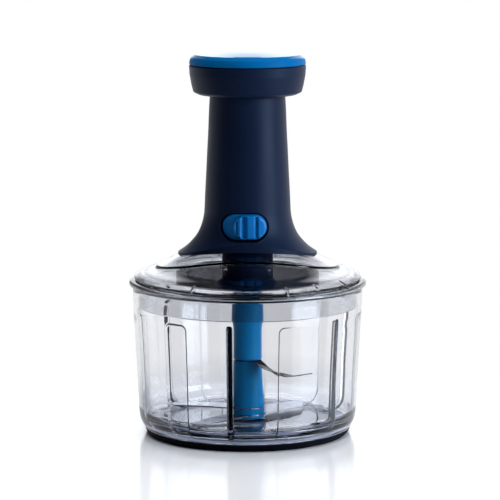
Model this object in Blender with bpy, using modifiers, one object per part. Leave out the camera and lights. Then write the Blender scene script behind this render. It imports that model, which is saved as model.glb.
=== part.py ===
"""Plunger food chopper.

A clear bowl with a bladed stem on a pivot pin, a smoked clear lid, and a
column on the lid in which a sprung plunger travels.  Pressing the knob pushes
a slotted nut down a twisted shaft, and the shaft turns the stem through a
hexagonal coupler.  A slide lock on the front of the column holds the knob down.

Units are metres, +Z is up, the bowl stands on z = 0, the lock faces -Y.
"""
import math

import bmesh
import bpy
from mathutils import Matrix, Vector

# ------------------------------------------------------------------ driving dimensions
MM = 0.001

GAP = 0.3 * MM                 # running and seating gap between neighbours

BOWL_WALL = 2.2 * MM
BOWL_RIM_Z = 96.1 * MM
BOWL_FLOOR_Z = 8.3 * MM        # top of the floor
BOWL_FLOOR_R = 58.0 * MM       # flat part of the floor
BOWL_CORNER_Z = 19.0 * MM      # the wall starts here
RIB_BASE_DEG = -9.0            # azimuth of the first rib, 0 = front, + = right
RIB_COUNT = 6
RIB_WIDTH = 2.8 * MM
RIB_DEPTH = 2.8 * MM
RIB_TOP_Z = 80.5 * MM
# Raised wall panels, two to every second rib: from that rib to the panel's middle, half width.
PANELS_DEG = ((-30.2, 6.2), (32.0, 7.0))
PANEL_DEPTH = 1.1 * MM
PANEL_TOP_Z = 79.5 * MM

LID_RIM_R = 76.6 * MM
LID_STEP_SIDE = 59.7 * MM      # the oval step on the dome
LID_STEP_FRONT = 42.9 * MM
LID_TOP_Z = 123.4 * MM
LID_WALL = 2.2 * MM
SKIRT_R = 70.6 * MM
SKIRT_Z = 83.6 * MM

COLUMN_TOP_Z = 218.8 * MM
COLUMN_WALL = 2.2 * MM
FOOT_SIDE_R = 44.8 * MM        # the oval foot of the column
FOOT_FRONT_R = 34.2 * MM

TUBE_R = 20.0 * MM
TUBE_WALL = 2.0 * MM
TUBE_BOTTOM_Z = 132.0 * MM
TUBE_TOP_Z = 229.4 * MM
STROKE = 50.0 * MM

KNOB_BOTTOM_Z = 219.3 * MM
KNOB_SEAM_Z = 238.6 * MM
KNOB_TOP_Z = 248.7 * MM
KNOB_R = 37.4 * MM

STRIP_W = 8.0 * MM             # twisted drive strip
STRIP_T = 2.0 * MM
STRIP_LEAD = 30.0 * MM         # rise for one turn
STRIP_Z0 = 126.0 * MM
STRIP_Z1 = 197.0 * MM
NUT_Z0 = 141.0 * MM
NUT_Z1 = 145.0 * MM

LOCK_Z = 137.0 * MM            # slide lock, curved about the column's axis
LOCK_POCKET_X = -2.0 * MM
LOCK_POCKET_W = 32.0 * MM
LOCK_POCKET_H = 18.7 * MM
LOCK_POCKET_R = 26.2 * MM      # the pocket's curved floor
LOCK_BEZEL_W = 28.4 * MM
LOCK_BEZEL_H = 16.8 * MM
LOCK_PAD_X = 1.5 * MM
LOCK_PAD_W = 21.8 * MM
LOCK_PAD_H = 15.4 * MM
LOCK_PAD_R = 31.0 * MM
LOCK_POST_DEG = 2.9            # azimuth of the slider's post
LOCK_SWING_DEG = 12.5          # from released to locked

STEM_CORE_W = 9.4 * MM         # square core that carries the blades
PIN_R = 2.0 * MM

SEG_BIG = 40
SEG_MID = 24
SEG_SMALL = 16

# ------------------------------------------------------------------ scene
for old in list(bpy.data.objects):
    bpy.data.objects.remove(old, do_unlink=True)

parts = bpy.data.collections.new("plunger_food_chopper")
cutters = bpy.data.collections.new("cutters")
bpy.context.scene.collection.children.link(parts)
bpy.context.scene.collection.children.link(cutters)


def material(name, color, rough, metallic=0.0, alpha=1.0, transmission=0.0):
    mat = bpy.data.materials.new(name)
    mat.use_nodes = True
    node = mat.node_tree.nodes["Principled BSDF"]
    node.inputs["Base Color"].default_value = (*color, 1.0)
    node.inputs["Roughness"].default_value = rough
    node.inputs["Metallic"].default_value = metallic
    node.inputs["Alpha"].default_value = alpha
    node.inputs["Transmission Weight"].default_value = transmission
    mat.diffuse_color = (*color, alpha)
    return mat


MAT = {
    "clear": material("clear_plastic", (0.80, 0.83, 0.87), 0.05, alpha=0.35, transmission=0.9),
    "smoked": material("smoked_plastic", (0.42, 0.45, 0.52), 0.06, alpha=0.45, transmission=0.9),
    "navy": material("navy_plastic", (0.012, 0.022, 0.055), 0.45),
    "blue": material("blue_plastic", (0.010, 0.200, 0.520), 0.25),
    "stem": material("blue_stem_plastic", (0.004, 0.090, 0.300), 0.40),
    "rubber": material("black_rubber", (0.010, 0.010, 0.012), 0.70),
    "seal": material("clear_silicone", (0.60, 0.62, 0.66), 0.50, alpha=0.6),
    "steel": material("stainless_steel", (0.62, 0.63, 0.65), 0.25, 1.0),
    "nylon": material("white_nylon", (0.75, 0.75, 0.72), 0.50),
}


def place(obj, collection=parts, mat=None):
    collection.objects.link(obj)
    if mat is not None:
        obj.data.materials.append(MAT[mat])
    return obj


def as_cutter(obj):
    obj.hide_render = True
    obj.display_type = "WIRE"
    return obj


def turned(name, profile, segs, mat=None, closed=False, cutter=False):
    """A solid of revolution: (r, z) points that run down the outer side."""
    mesh = bpy.data.meshes.new(name)
    verts = [(r, 0.0, z) for r, z in profile]
    edges = [(i, i + 1) for i in range(len(verts) - 1)]
    if closed:
        edges.append((len(verts) - 1, 0))
    mesh.from_pydata(verts, edges, [])
    obj = bpy.data.objects.new(name, mesh)
    place(obj, cutters if cutter else parts, None if cutter else mat)
    if cutter:
        as_cutter(obj)
    screw = obj.modifiers.new("turn", "SCREW")
    screw.axis = "Z"
    screw.angle = 2.0 * math.pi
    screw.steps = segs
    screw.render_steps = segs
    screw.use_merge_vertices = True
    screw.merge_threshold = 0.00001
    screw.use_smooth_shade = True
    return obj


def from_bmesh(name, bm, mat=None, cutter=False, smooth=None):
    mesh = bpy.data.meshes.new(name)
    bmesh.ops.recalc_face_normals(bm, faces=bm.faces)
    bm.to_mesh(mesh)
    bm.free()
    obj = bpy.data.objects.new(name, mesh)
    place(obj, cutters if cutter else parts, None if cutter else mat)
    if cutter:
        as_cutter(obj)
    if smooth is not None:
        mesh.shade_smooth()
        mesh.set_sharp_from_angle(angle=math.radians(smooth))
    return obj


def box(name, lo, hi, mat=None, cutter=False, bevel=0.0):
    bm = bmesh.new()
    bmesh.ops.create_cube(bm, size=1.0)
    size = [hi[i] - lo[i] for i in range(3)]
    mid = [(hi[i] + lo[i]) / 2 for i in range(3)]
    bmesh.ops.scale(bm, vec=size, verts=bm.verts)
    bmesh.ops.translate(bm, vec=mid, verts=bm.verts)
    obj = from_bmesh(name, bm, mat, cutter)
    if bevel:
        mod = obj.modifiers.new("edges", "BEVEL")
        mod.width = bevel
        mod.segments = 2
    return obj


def rod(name, r, z0, z1, at=(0.0, 0.0), segs=SEG_SMALL, mat=None, cutter=False, r2=None):
    bm = bmesh.new()
    bmesh.ops.create_cone(bm, cap_ends=True, segments=segs, radius1=r,
                          radius2=r if r2 is None else r2, depth=z1 - z0)
    bmesh.ops.translate(bm, vec=(at[0], at[1], (z0 + z1) / 2), verts=bm.verts)
    return from_bmesh(name, bm, mat, cutter, smooth=40)


def prism(name, outline, z0, z1, mat=None, cutter=False):
    """A flat outline in XY, drawn as a filled curve and given its thickness."""
    curve = bpy.data.curves.new(name, "CURVE")
    curve.dimensions = "2D"
    curve.fill_mode = "BOTH"
    curve.extrude = (z1 - z0) / 2
    spline = curve.splines.new("POLY")
    spline.points.add(len(outline) - 1)
    for point, (x, y) in zip(spline.points, outline):
        point.co = (x, y, 0.0, 1.0)
    spline.use_cyclic_u = True
    temp = bpy.data.objects.new(name + "_outline", curve)
    bpy.context.scene.collection.objects.link(temp)
    temp.location = (0.0, 0.0, (z0 + z1) / 2)
    depsgraph = bpy.context.evaluated_depsgraph_get()
    depsgraph.update()
    mesh = bpy.data.meshes.new_from_object(temp.evaluated_get(depsgraph))
    mesh.name = name
    bm = bmesh.new()
    bm.from_mesh(mesh)
    bmesh.ops.remove_doubles(bm, verts=bm.verts, dist=0.00001)
    bmesh.ops.translate(bm, vec=temp.location, verts=bm.verts)
    bpy.data.objects.remove(temp, do_unlink=True)
    bpy.data.meshes.remove(mesh)
    return from_bmesh(name, bm, mat, cutter)


def stadium(width, height, cx=0.0, cy=0.0, steps=8):
    """Outline of a bar with round ends."""
    r = height / 2
    half = width / 2 - r
    pts = []
    for i in range(steps + 1):
        a = -math.pi / 2 + math.pi * i / steps
        pts.append((cx + half + r * math.cos(a), cy + r * math.sin(a)))
    for i in range(steps + 1):
        a = math.pi / 2 + math.pi * i / steps
        pts.append((cx - half + r * math.cos(a), cy + r * math.sin(a)))
    return pts


def regular(sides, across_flats):
    rad = across_flats / 2 / math.cos(math.pi / sides)
    return [(rad * math.cos(2 * math.pi * (i + 0.5) / sides),
             rad * math.sin(2 * math.pi * (i + 0.5) / sides)) for i in range(sides)]


def stand_up(obj):
    """Turn a plate drawn in XY so that its drawing plane is XZ and it faces -Y."""
    obj.data.transform(Matrix.Rotation(math.radians(90), 4, "X"))
    return obj


def boolean(obj, tool, operation):
    mod = obj.modifiers.new(operation.lower(), "BOOLEAN")
    mod.operation = operation
    mod.solver = "EXACT"
    mod.object = tool
    return obj


def cut(obj, *tools):
    for tool in tools:
        boolean(obj, tool, "DIFFERENCE")
    return obj


def add(obj, *tools):
    for tool in tools:
        boolean(obj, tool, "UNION")
    return obj


def lerp_table(table, x):
    """Value of a (x, y) table at x, straight between its points."""
    pts = sorted(table)
    if x <= pts[0][0]:
        return pts[0][1]
    for (x0, y0), (x1, y1) in zip(pts, pts[1:]):
        if x <= x1:
            return y0 + (y1 - y0) * (x - x0) / (x1 - x0)
    return pts[-1][1]


def azimuth(deg, r, z=0.0):
    """Point at an azimuth: 0 is the front (-Y), + is to the right (+X)."""
    a = math.radians(deg)
    return Vector((r * math.sin(a), -r * math.cos(a), z))


# ------------------------------------------------------------------ bowl
WALL_TABLE = [(2.0, 65.9), (2.6, 66.3), (4.4, 67.3), (6.2, 68.1), (8.6, 69.3), (12.4, 70.4),
              (19.8, 70.95), (33.1, 71.4), (46.3, 71.9), (59.5, 72.6), (72.6, 73.3),
              (80.5, 73.8), (96.1, 74.1)]


def bowl_outer(z):
    return lerp_table([(a * MM, b * MM) for a, b in WALL_TABLE], z)


def bowl_profile():
    pts = [(0.0, 10.1 * MM), (PIN_R + GAP, 10.1 * MM), (PIN_R + GAP, 13.6 * MM),
           (3.6 * MM, 13.6 * MM), (7.2 * MM, BOWL_FLOOR_Z), (BOWL_FLOOR_R, BOWL_FLOOR_Z)]
    # inner corner, a quarter ellipse up to the wall
    top_r = bowl_outer(BOWL_CORNER_Z) - BOWL_WALL
    for i in range(1, 5):
        a = math.pi / 2 * i / 4
        pts.append((BOWL_FLOOR_R + (top_r - BOWL_FLOOR_R) * math.sin(a),
                    BOWL_CORNER_Z - (BOWL_CORNER_Z - BOWL_FLOOR_Z) * math.cos(a)))
    for z in (46.3, 82.0):
        pts.append((bowl_outer(z * MM) - BOWL_WALL, z * MM))
    pts += [(bowl_outer(BOWL_RIM_Z) - BOWL_WALL + 0.4 * MM, BOWL_RIM_Z),
            (bowl_outer(BOWL_RIM_Z) - 0.5 * MM, BOWL_RIM_Z),
            (bowl_outer(BOWL_RIM_Z), BOWL_RIM_Z - 0.6 * MM)]
    for z in (80.5, 46.3, 19.8, 12.4, 8.6, 6.2, 4.9):
        pts.append((bowl_outer(z * MM), z * MM))
    # the hollow foot that holds the non-slip ring, and the underside of the floor
    pts += [(r * MM, z * MM) for r, z in (
        (65.1, 4.9), (65.1, 5.6), (66.4, 7.5), (67.3, 9.7), (65.5, 8.3), (63.6, 7.1), (61.4, 6.3),
        (58.6, 5.9), (57.0, 5.6), (57.0, 3.0), (55.8, 3.0), (55.2, 5.6), (0.0, 5.6))]
    return pts


def rib_section(deg, half_w, r0_of, r1_of, z_list, name):
    """A bar on the wall, a loft up the height that follows the wall."""
    bm = bmesh.new()
    a = math.radians(deg)
    radial = Vector((math.sin(a), -math.cos(a), 0))
    side = Vector((math.cos(a), math.sin(a), 0))
    rings = []
    for z in z_list:
        up = Vector((0, 0, z))
        rings.append([bm.verts.new(p) for p in (
            radial * r0_of(z) - side * half_w + up, radial * r0_of(z) + side * half_w + up,
            radial * r1_of(z) + side * half_w + up, radial * r1_of(z) - side * half_w + up)])
    for lo, hi in zip(rings, rings[1:]):
        for i in range(4):
            j = (i + 1) % 4
            bm.faces.new((lo[i], lo[j], hi[j], hi[i]))
    bm.faces.new(rings[0])
    bm.faces.new(rings[-1])
    return from_bmesh(name, bm, cutter=True)


def panel_band(deg, half_deg, r0_of, r1_of, z_list, name, steps=8):
    """An arc-shaped pad on the wall between two azimuths."""
    bm = bmesh.new()
    grid0, grid1 = [], []
    for z in z_list:
        row0, row1 = [], []
        for i in range(steps + 1):
            d = deg - half_deg + 2 * half_deg * i / steps
            row0.append(bm.verts.new(azimuth(d, r0_of(z), z)))
            row1.append(bm.verts.new(azimuth(d, r1_of(z), z)))
        grid0.append(row0)
        grid1.append(row1)
    for g in (grid0, grid1):
        for k in range(len(z_list) - 1):
            for i in range(steps):
                bm.faces.new((g[k][i], g[k][i + 1], g[k + 1][i + 1], g[k + 1][i]))
    for k in (0, len(z_list) - 1):
        for i in range(steps):
            bm.faces.new((grid0[k][i], grid0[k][i + 1], grid1[k][i + 1], grid1[k][i]))
    for i in (0, steps):
        for k in range(len(z_list) - 1):
            bm.faces.new((grid0[k][i], grid0[k + 1][i], grid1[k + 1][i], grid1[k][i]))
    return from_bmesh(name, bm, cutter=True)


def wall_in(z):
    """Inner radius of the bowl: the wall, then the corner down to the floor."""
    if z >= BOWL_CORNER_Z:
        return bowl_outer(z) - BOWL_WALL
    top_r = bowl_outer(BOWL_CORNER_Z) - BOWL_WALL
    c = min(1.0, (BOWL_CORNER_Z - z) / (BOWL_CORNER_Z - BOWL_FLOOR_Z))
    return BOWL_FLOOR_R + (top_r - BOWL_FLOOR_R) * math.sqrt(1.0 - c * c)


CORNER_ZS = [z * MM for z in (7.6, 8.8, 10.4, 13.0, 16.0, 19.0, 46.3)]
bowl = turned("bowl", bowl_profile(), SEG_BIG, "clear")
for k in range(3):
    for offset, half in PANELS_DEG:
        add(bowl, panel_band(RIB_BASE_DEG + 120 * k + offset, half,
                             lambda z: wall_in(z) - PANEL_DEPTH, lambda z: wall_in(z) + 1.0 * MM,
                             CORNER_ZS + [PANEL_TOP_Z],
                             "panel_%d_%s" % (k, "left" if offset < 0 else "right"), steps=3))
for k in range(RIB_COUNT):
    add(bowl, rib_section(RIB_BASE_DEG + 60 * k + 0.01, RIB_WIDTH / 2,
                          lambda z: wall_in(z) - RIB_DEPTH, lambda z: wall_in(z) + 1.1 * MM,
                          CORNER_ZS + [RIB_TOP_Z], "rib_%d" % k))

base_ring = turned("base_ring", [
    (57.4 * MM, 5.2 * MM), (64.8 * MM, 5.2 * MM), (64.8 * MM, 4.6 * MM), (67.0 * MM, 4.6 * MM),
    (67.0 * MM, 4.2 * MM), (66.1 * MM, 2.3 * MM), (65.0 * MM, 0.6 * MM), (64.3 * MM, 0.0),
    (57.9 * MM, 0.0), (57.4 * MM, 0.5 * MM)], SEG_BIG, "rubber", closed=True)

pivot_pin = turned("pivot_pin", [
    (0.0, 42.0 * MM), (1.2 * MM, 41.8 * MM), (PIN_R, 41.0 * MM), (PIN_R, 10.9 * MM),
    (1.6 * MM, 10.4 * MM), (0.0, 10.4 * MM)], SEG_SMALL, "steel")

# ------------------------------------------------------------------ lid
def oval(side, front, steps=48):
    """Outline of an oval about the axis, wide to the sides."""
    return [(side * math.cos(2 * math.pi * i / steps), front * math.sin(2 * math.pi * i / steps))
            for i in range(steps)]


lid = turned("lid", [
    (9.6 * MM, LID_TOP_Z - 0.8 * MM), (29.4 * MM, 122.3 * MM), (36.5 * MM, 118.9 * MM),
    (44.7 * MM, 114.6 * MM), (52.0 * MM, 110.8 * MM), (59.9 * MM, 107.5 * MM),
    (67.5 * MM, 105.0 * MM), (70.6 * MM, 103.7 * MM), (73.4 * MM, 102.3 * MM),
    (73.9 * MM, 101.3 * MM), (75.6 * MM, 100.0 * MM), (LID_RIM_R, 99.1 * MM),
    (LID_RIM_R, 97.4 * MM), (75.8 * MM, 96.4 * MM), (74.9 * MM, 96.4 * MM), (74.9 * MM, 97.9 * MM),
    (71.3 * MM, 97.9 * MM), (71.3 * MM, 96.4 * MM), (SKIRT_R + 0.2 * MM, 96.4 * MM),
    (SKIRT_R, SKIRT_Z + 0.4 * MM),
    (SKIRT_R - 0.5 * MM, SKIRT_Z), (SKIRT_R - 2.6 * MM, SKIRT_Z),
    (SKIRT_R - 2.8 * MM, 96.0 * MM), (70.9 * MM, 99.4 * MM), (65.0 * MM, 103.0 * MM),
    (57.8 * MM, 106.2 * MM), (44.0 * MM, 113.4 * MM), (35.6 * MM, 118.0 * MM),
    (28.6 * MM, LID_TOP_Z - LID_WALL), (9.6 * MM, LID_TOP_Z - LID_WALL)], SEG_BIG, "smoked", closed=True)
# The middle of the dome stands one step higher, inside an oval.
lid_crown = turned("lid_crown", [
    (10.0 * MM, LID_TOP_Z), (29.4 * MM, LID_TOP_Z - 0.3 * MM), (36.5 * MM, 120.2 * MM),
    (44.7 * MM, 115.9 * MM), (52.0 * MM, 112.0 * MM), (61.5 * MM, 108.2 * MM),
    (61.5 * MM, 106.0 * MM), (52.0 * MM, 110.1 * MM), (44.7 * MM, 113.9 * MM),
    (36.5 * MM, 118.2 * MM), (29.4 * MM, 121.7 * MM), (10.0 * MM, 121.8 * MM)],
    SEG_BIG, closed=True, cutter=True)
boolean(lid_crown, prism("crown_outline", oval(LID_STEP_SIDE, LID_STEP_FRONT),
                         100.0 * MM, 130.0 * MM, cutter=True), "INTERSECT")
add(lid, lid_crown)

# Flat gasket in the rim's groove, over the edge of the bowl.
lid_seal = turned("lid_seal", [
    (71.6 * MM, 97.6 * MM), (74.6 * MM, 97.6 * MM), (74.6 * MM, 96.4 * MM), (71.6 * MM, 96.4 * MM)],
    SEG_BIG, "seal", closed=True)

# The centre hub under the lid: its flange clamps the lid to the column.
SCREW_R = 22.4 * MM
SCREW_DEG = (60.0, 180.0, 300.0)
hub_carrier = turned("hub_carrier", [
    (7.3 * MM, 122.9 * MM), (9.2 * MM, 122.9 * MM), (9.2 * MM, 120.9 * MM),
    (26.0 * MM, 120.9 * MM), (26.0 * MM, 118.7 * MM), (17.6 * MM, 118.7 * MM),
    (16.5 * MM, 117.6 * MM), (16.5 * MM, 99.8 * MM), (13.9 * MM, 99.8 * MM),
    (13.9 * MM, 115.2 * MM), (5.0 * MM, 115.2 * MM), (5.0 * MM, 116.2 * MM),
    (7.3 * MM, 116.2 * MM)], SEG_MID, "navy", closed=True)
for k, deg in enumerate(SCREW_DEG):
    p = azimuth(deg, SCREW_R)
    cut(hub_carrier, rod("carrier_hole_%d" % k, 1.8 * MM, 117.0 * MM, 122.0 * MM,
                         (p.x, p.y), 16, cutter=True))
    cut(lid, rod("lid_hole_%d" % k, 1.8 * MM, 120.0 * MM, 125.0 * MM,
                 (p.x, p.y), 16, cutter=True))

hub_cover = turned("hub_cover", [
    (8.9 * MM, 99.4 * MM), (12.0 * MM, 99.4 * MM), (13.0 * MM, 101.4 * MM),
    (13.6 * MM, 99.5 * MM), (16.5 * MM, 99.5 * MM), (16.5 * MM, 95.7 * MM),
    (18.6 * MM, 95.7 * MM), (18.6 * MM, 95.1 * MM), (17.8 * MM, 94.5 * MM), (8.9 * MM, 94.5 * MM)],
    SEG_MID, "navy", closed=True)

# The shallow dark cup round the hub rests on the cover's flange.
inner_shield = turned("inner_shield", [
    (44.7 * MM, 103.7 * MM), (45.5 * MM, 103.7 * MM), (46.0 * MM, 103.2 * MM),
    (46.0 * MM, 96.8 * MM), (45.2 * MM, 96.0 * MM), (16.9 * MM, 96.0 * MM),
    (16.9 * MM, 97.5 * MM), (43.9 * MM, 97.5 * MM), (44.5 * MM, 98.1 * MM),
    (44.5 * MM, 103.5 * MM)], SEG_MID, "smoked", closed=True)

shaft_bush = turned("shaft_bush", [
    (4.1 * MM, 122.8 * MM), (7.0 * MM, 122.8 * MM), (7.0 * MM, 116.5 * MM),
    (4.1 * MM, 116.5 * MM)], SEG_SMALL, "nylon", closed=True)

# ------------------------------------------------------------------ column
COLUMN_TABLE = [(218.8, 24.2), (209.0, 24.7), (196.2, 25.2), (183.3, 25.9), (170.4, 26.5),
                (157.5, 27.2), (151.0, 27.5), (144.5, 27.8), (141.2, 28.2), (138.0, 28.9),
                (134.7, 29.9), (131.5, 31.2), (128.2, 33.1), (125.0, 35.7), (121.7, 38.9),
                (119.1, 42.2), (117.1, 45.4)]


def column_outer(z):
    return lerp_table([(a * MM, b * MM) for a, b in COLUMN_TABLE], z)


def column_profile():
    outer = [(22.7 * MM, COLUMN_TOP_Z), (23.7 * MM, COLUMN_TOP_Z - 0.2 * MM)]
    for z in (218.0, 170.4, 144.5, 138.0, 134.7, 131.5, 128.2, 125.0, 121.7, 117.1):
        outer.append((column_outer(z * MM), z * MM))
    inner = [(44.6 * MM, 116.3 * MM)]
    # underside: it follows the dome of the lid, then runs up inside the column
    inner += [(36.7 * MM, 120.6 * MM), (29.9 * MM, 123.8 * MM), (29.4 * MM, 128.2 * MM),
              (26.6 * MM, 138.0 * MM), (25.6 * MM, 144.5 * MM), (22.3 * MM, 205.0 * MM),
              (22.3 * MM, COLUMN_TOP_Z - 0.6 * MM)]
    return outer + inner


column_housing = turned("column_housing", column_profile(), SEG_BIG, "navy", closed=True)

# Pocket for the slide lock, with its own curved wall behind it.
lock_levels = [125.6 * MM, 131.5 * MM, 138.0 * MM, 148.0 * MM]
add(column_housing, panel_band(-2.0, 42.0, lambda z: 23.9 * MM,
                               lambda z: column_outer(z) - 1.0 * MM, lock_levels, "lock_wall",
                               steps=14))
pocket = stand_up(prism("lock_pocket", stadium(LOCK_POCKET_W, LOCK_POCKET_H,
                                               LOCK_POCKET_X, LOCK_Z), 15.0 * MM, 44.0 * MM,
                        cutter=True))
cut(pocket, rod("pocket_floor", LOCK_POCKET_R, 120.0 * MM, 154.0 * MM, segs=48, cutter=True))
cut(column_housing, pocket)
LOCK_SLOT_MID = LOCK_POST_DEG - LOCK_SWING_DEG / 2
LOCK_SLOT_HALF = LOCK_SWING_DEG / 2 + 7.6
slot_z = [133.6 * MM, 140.4 * MM]
cut(column_housing, panel_band(LOCK_SLOT_MID, LOCK_SLOT_HALF, lambda z: 21.0 * MM,
                               lambda z: 29.0 * MM, slot_z, "lock_slot", steps=6))

# Oval foot: everything outside an elliptical cylinder is trimmed away.
trim_bm = bmesh.new()
steps = 40
ring_in, ring_out = [], []
for layer, z in enumerate((110.0 * MM, 131.0 * MM)):
    ring_in.append([trim_bm.verts.new((FOOT_SIDE_R * math.sin(2 * math.pi * i / steps),
                                       -FOOT_FRONT_R * math.cos(2 * math.pi * i / steps), z))
                    for i in range(steps)])
    ring_out.append([trim_bm.verts.new((60 * MM * math.sin(2 * math.pi * i / steps),
                                        -60 * MM * math.cos(2 * math.pi * i / steps), z))
                     for i in range(steps)])
for i in range(steps):
    j = (i + 1) % steps
    trim_bm.faces.new((ring_in[0][i], ring_in[0][j], ring_in[1][j], ring_in[1][i]))
    trim_bm.faces.new((ring_out[0][i], ring_out[0][j], ring_out[1][j], ring_out[1][i]))
    for layer in (0, 1):
        trim_bm.faces.new((ring_in[layer][i], ring_in[layer][j],
                           ring_out[layer][j], ring_out[layer][i]))
cut(column_housing, from_bmesh("foot_trim", trim_bm, cutter=True))

# Screw bosses inside the column foot.
for k, deg in enumerate(SCREW_DEG):
    p = azimuth(deg, SCREW_R)
    q = azimuth(deg, 29.6 * MM)
    web = box("boss_web_%d" % k, (-1.0 * MM, 0.0, 123.75 * MM),
              (1.0 * MM, 9.0 * MM, 128.6 * MM), cutter=True)
    web.rotation_euler = (0.0, 0.0, math.radians(deg) + math.pi)
    web.location = (p.x, p.y, 0.0)
    add(column_housing, web)
    add(column_housing, rod("boss_%d" % k, 3.6 * MM, 123.7 * MM, 130.6 * MM,
                            (p.x, p.y), 16, cutter=True))
    cut(column_housing, rod("boss_bore_%d" % k, 1.45 * MM, 122.0 * MM, 129.6 * MM,
                            (p.x, p.y), 12, cutter=True))

guide_sleeve = turned("guide_sleeve", [
    (TUBE_R + GAP, 218.4 * MM), (21.6 * MM, 218.4 * MM), (21.9 * MM, 218.0 * MM),
    (21.9 * MM, 207.4 * MM), (TUBE_R + GAP, 207.4 * MM)], SEG_MID, "nylon", closed=True)


def screw_mesh(name, head_r, head_h, shank_r, shank_len, up):
    """A pan-head screw with its head's bearing face at z = 0."""
    bm = bmesh.new()
    s = 1.0 if up else -1.0
    prof = [(0.0, -head_h), (head_r * 0.7, -head_h), (head_r, -head_h * 0.45), (head_r, 0.0),
            (shank_r, 0.0), (shank_r, shank_len - shank_r), (0.0, shank_len)]
    segs = 12
    rings = []
    for r, h in prof:
        if r == 0.0:
            rings.append([bm.verts.new((0.0, 0.0, s * h))])
        else:
            rings.append([bm.verts.new((r * math.cos(2 * math.pi * i / segs),
                                        r * math.sin(2 * math.pi * i / segs), s * h))
                          for i in range(segs)])
    for a, b in zip(rings, rings[1:]):
        for i in range(segs):
            j = (i + 1) % segs
            if len(a) == 1:
                bm.faces.new((a[0], b[j], b[i]))
            elif len(b) == 1:
                bm.faces.new((a[i], a[j], b[0]))
            else:
                bm.faces.new((a[i], a[j], b[j], b[i]))
    bmesh.ops.recalc_face_normals(bm, faces=bm.faces)
    mesh = bpy.data.meshes.new(name)
    bm.to_mesh(mesh)
    bm.free()
    mesh.shade_smooth()
    mesh.set_sharp_from_angle(angle=math.radians(35))
    mesh.materials.append(MAT["steel"])
    return mesh


def screws(name, mesh, degs, radius, z):
    group = []
    for k, deg in enumerate(degs):
        screw = bpy.data.objects.new("%s_%d" % (name, k + 1), mesh)
        screw.location = azimuth(deg, radius, z)
        parts.objects.link(screw)
        group.append(screw)
    return group


lid_screws = screws("lid_screw", screw_mesh("lid_screw", 3.2 * MM, 1.9 * MM, 1.1 * MM,
                                            10.6 * MM, True), SCREW_DEG, SCREW_R, 118.4 * MM)

# ------------------------------------------------------------------ plunger
plunger_tube = turned("plunger_tube", [
    (0.0, TUBE_TOP_Z), (29.0 * MM, TUBE_TOP_Z), (29.0 * MM, TUBE_TOP_Z - 2.0 * MM),
    (TUBE_R, TUBE_TOP_Z - 2.0 * MM), (TUBE_R, TUBE_BOTTOM_Z + 0.5 * MM),
    (TUBE_R - 0.5 * MM, TUBE_BOTTOM_Z), (TUBE_R - TUBE_WALL, TUBE_BOTTOM_Z),
    (TUBE_R - TUBE_WALL, NUT_Z1 + 0.3 * MM), (TUBE_R - TUBE_WALL - 1.0 * MM, NUT_Z1 + 0.3 * MM),
    (TUBE_R - TUBE_WALL - 1.0 * MM, 226.9 * MM), (0.0, 226.9 * MM)], SEG_MID, "navy")
# L-shaped notch for the lock: an open way down on the right, a catch on the left
cut(plunger_tube, panel_band(16.5, 6.0, lambda z: 14.0 * MM, lambda z: 24.0 * MM,
                             [128.0 * MM, 139.4 * MM], "notch_way", steps=2))
cut(plunger_tube, panel_band(4.6, 6.6, lambda z: 14.0 * MM, lambda z: 24.0 * MM,
                             [134.9 * MM, 139.37 * MM], "notch_catch", steps=2))

KNOB_SCREW_R = 25.2 * MM
KNOB_SCREW_DEG = (0.0, 120.0, 240.0)
knob_shell = turned("knob_shell", [
    (33.9 * MM, KNOB_SEAM_Z - 0.3 * MM), (36.6 * MM, KNOB_SEAM_Z - 0.3 * MM),
    (KNOB_R, KNOB_SEAM_Z - 0.9 * MM), (37.0 * MM, 232.6 * MM),
    (35.4 * MM, 224.3 * MM), (34.4 * MM, 221.6 * MM),
    (31.8 * MM, KNOB_BOTTOM_Z), (TUBE_R + GAP, KNOB_BOTTOM_Z),
    (TUBE_R + GAP, 221.6 * MM), (31.4 * MM, 221.6 * MM), (33.4 * MM, 226.0 * MM)], SEG_BIG, "navy", closed=True)
for k, deg in enumerate(KNOB_SCREW_DEG):
    p = azimuth(deg, KNOB_SCREW_R)
    add(knob_shell, rod("knob_boss_%d" % k, 3.3 * MM, 220.6 * MM, 227.1 * MM,
                        (p.x, p.y), 16, cutter=True))
    cut(knob_shell, rod("knob_bore_%d" % k, 1.45 * MM, 220.9 * MM, 230.0 * MM,
                        (p.x, p.y), 12, cutter=True))
    cut(plunger_tube, rod("flange_hole_%d" % k, 1.8 * MM, 226.0 * MM, 231.0 * MM,
                          (p.x, p.y), 16, cutter=True))
knob_screws = screws("knob_screw", screw_mesh("knob_screw", 3.2 * MM, 1.9 * MM, 1.1 * MM,
                                              8.4 * MM, False),
                     KNOB_SCREW_DEG, KNOB_SCREW_R, 229.7 * MM)

knob_cap = turned("knob_cap", [
    (0.0, KNOB_TOP_Z), (13.0 * MM, 248.4 * MM), (24.0 * MM, 247.3 * MM),
    (31.0 * MM, 245.5 * MM), (35.4 * MM, 242.6 * MM), (37.0 * MM, 240.2 * MM),
    (37.3 * MM, KNOB_SEAM_Z), (33.5 * MM, KNOB_SEAM_Z), (33.5 * MM, 235.0 * MM),
    (31.8 * MM, 235.0 * MM), (31.2 * MM, 241.4 * MM), (22.0 * MM, 245.2 * MM),
    (0.0, 246.6 * MM)], SEG_BIG, "blue")


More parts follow.
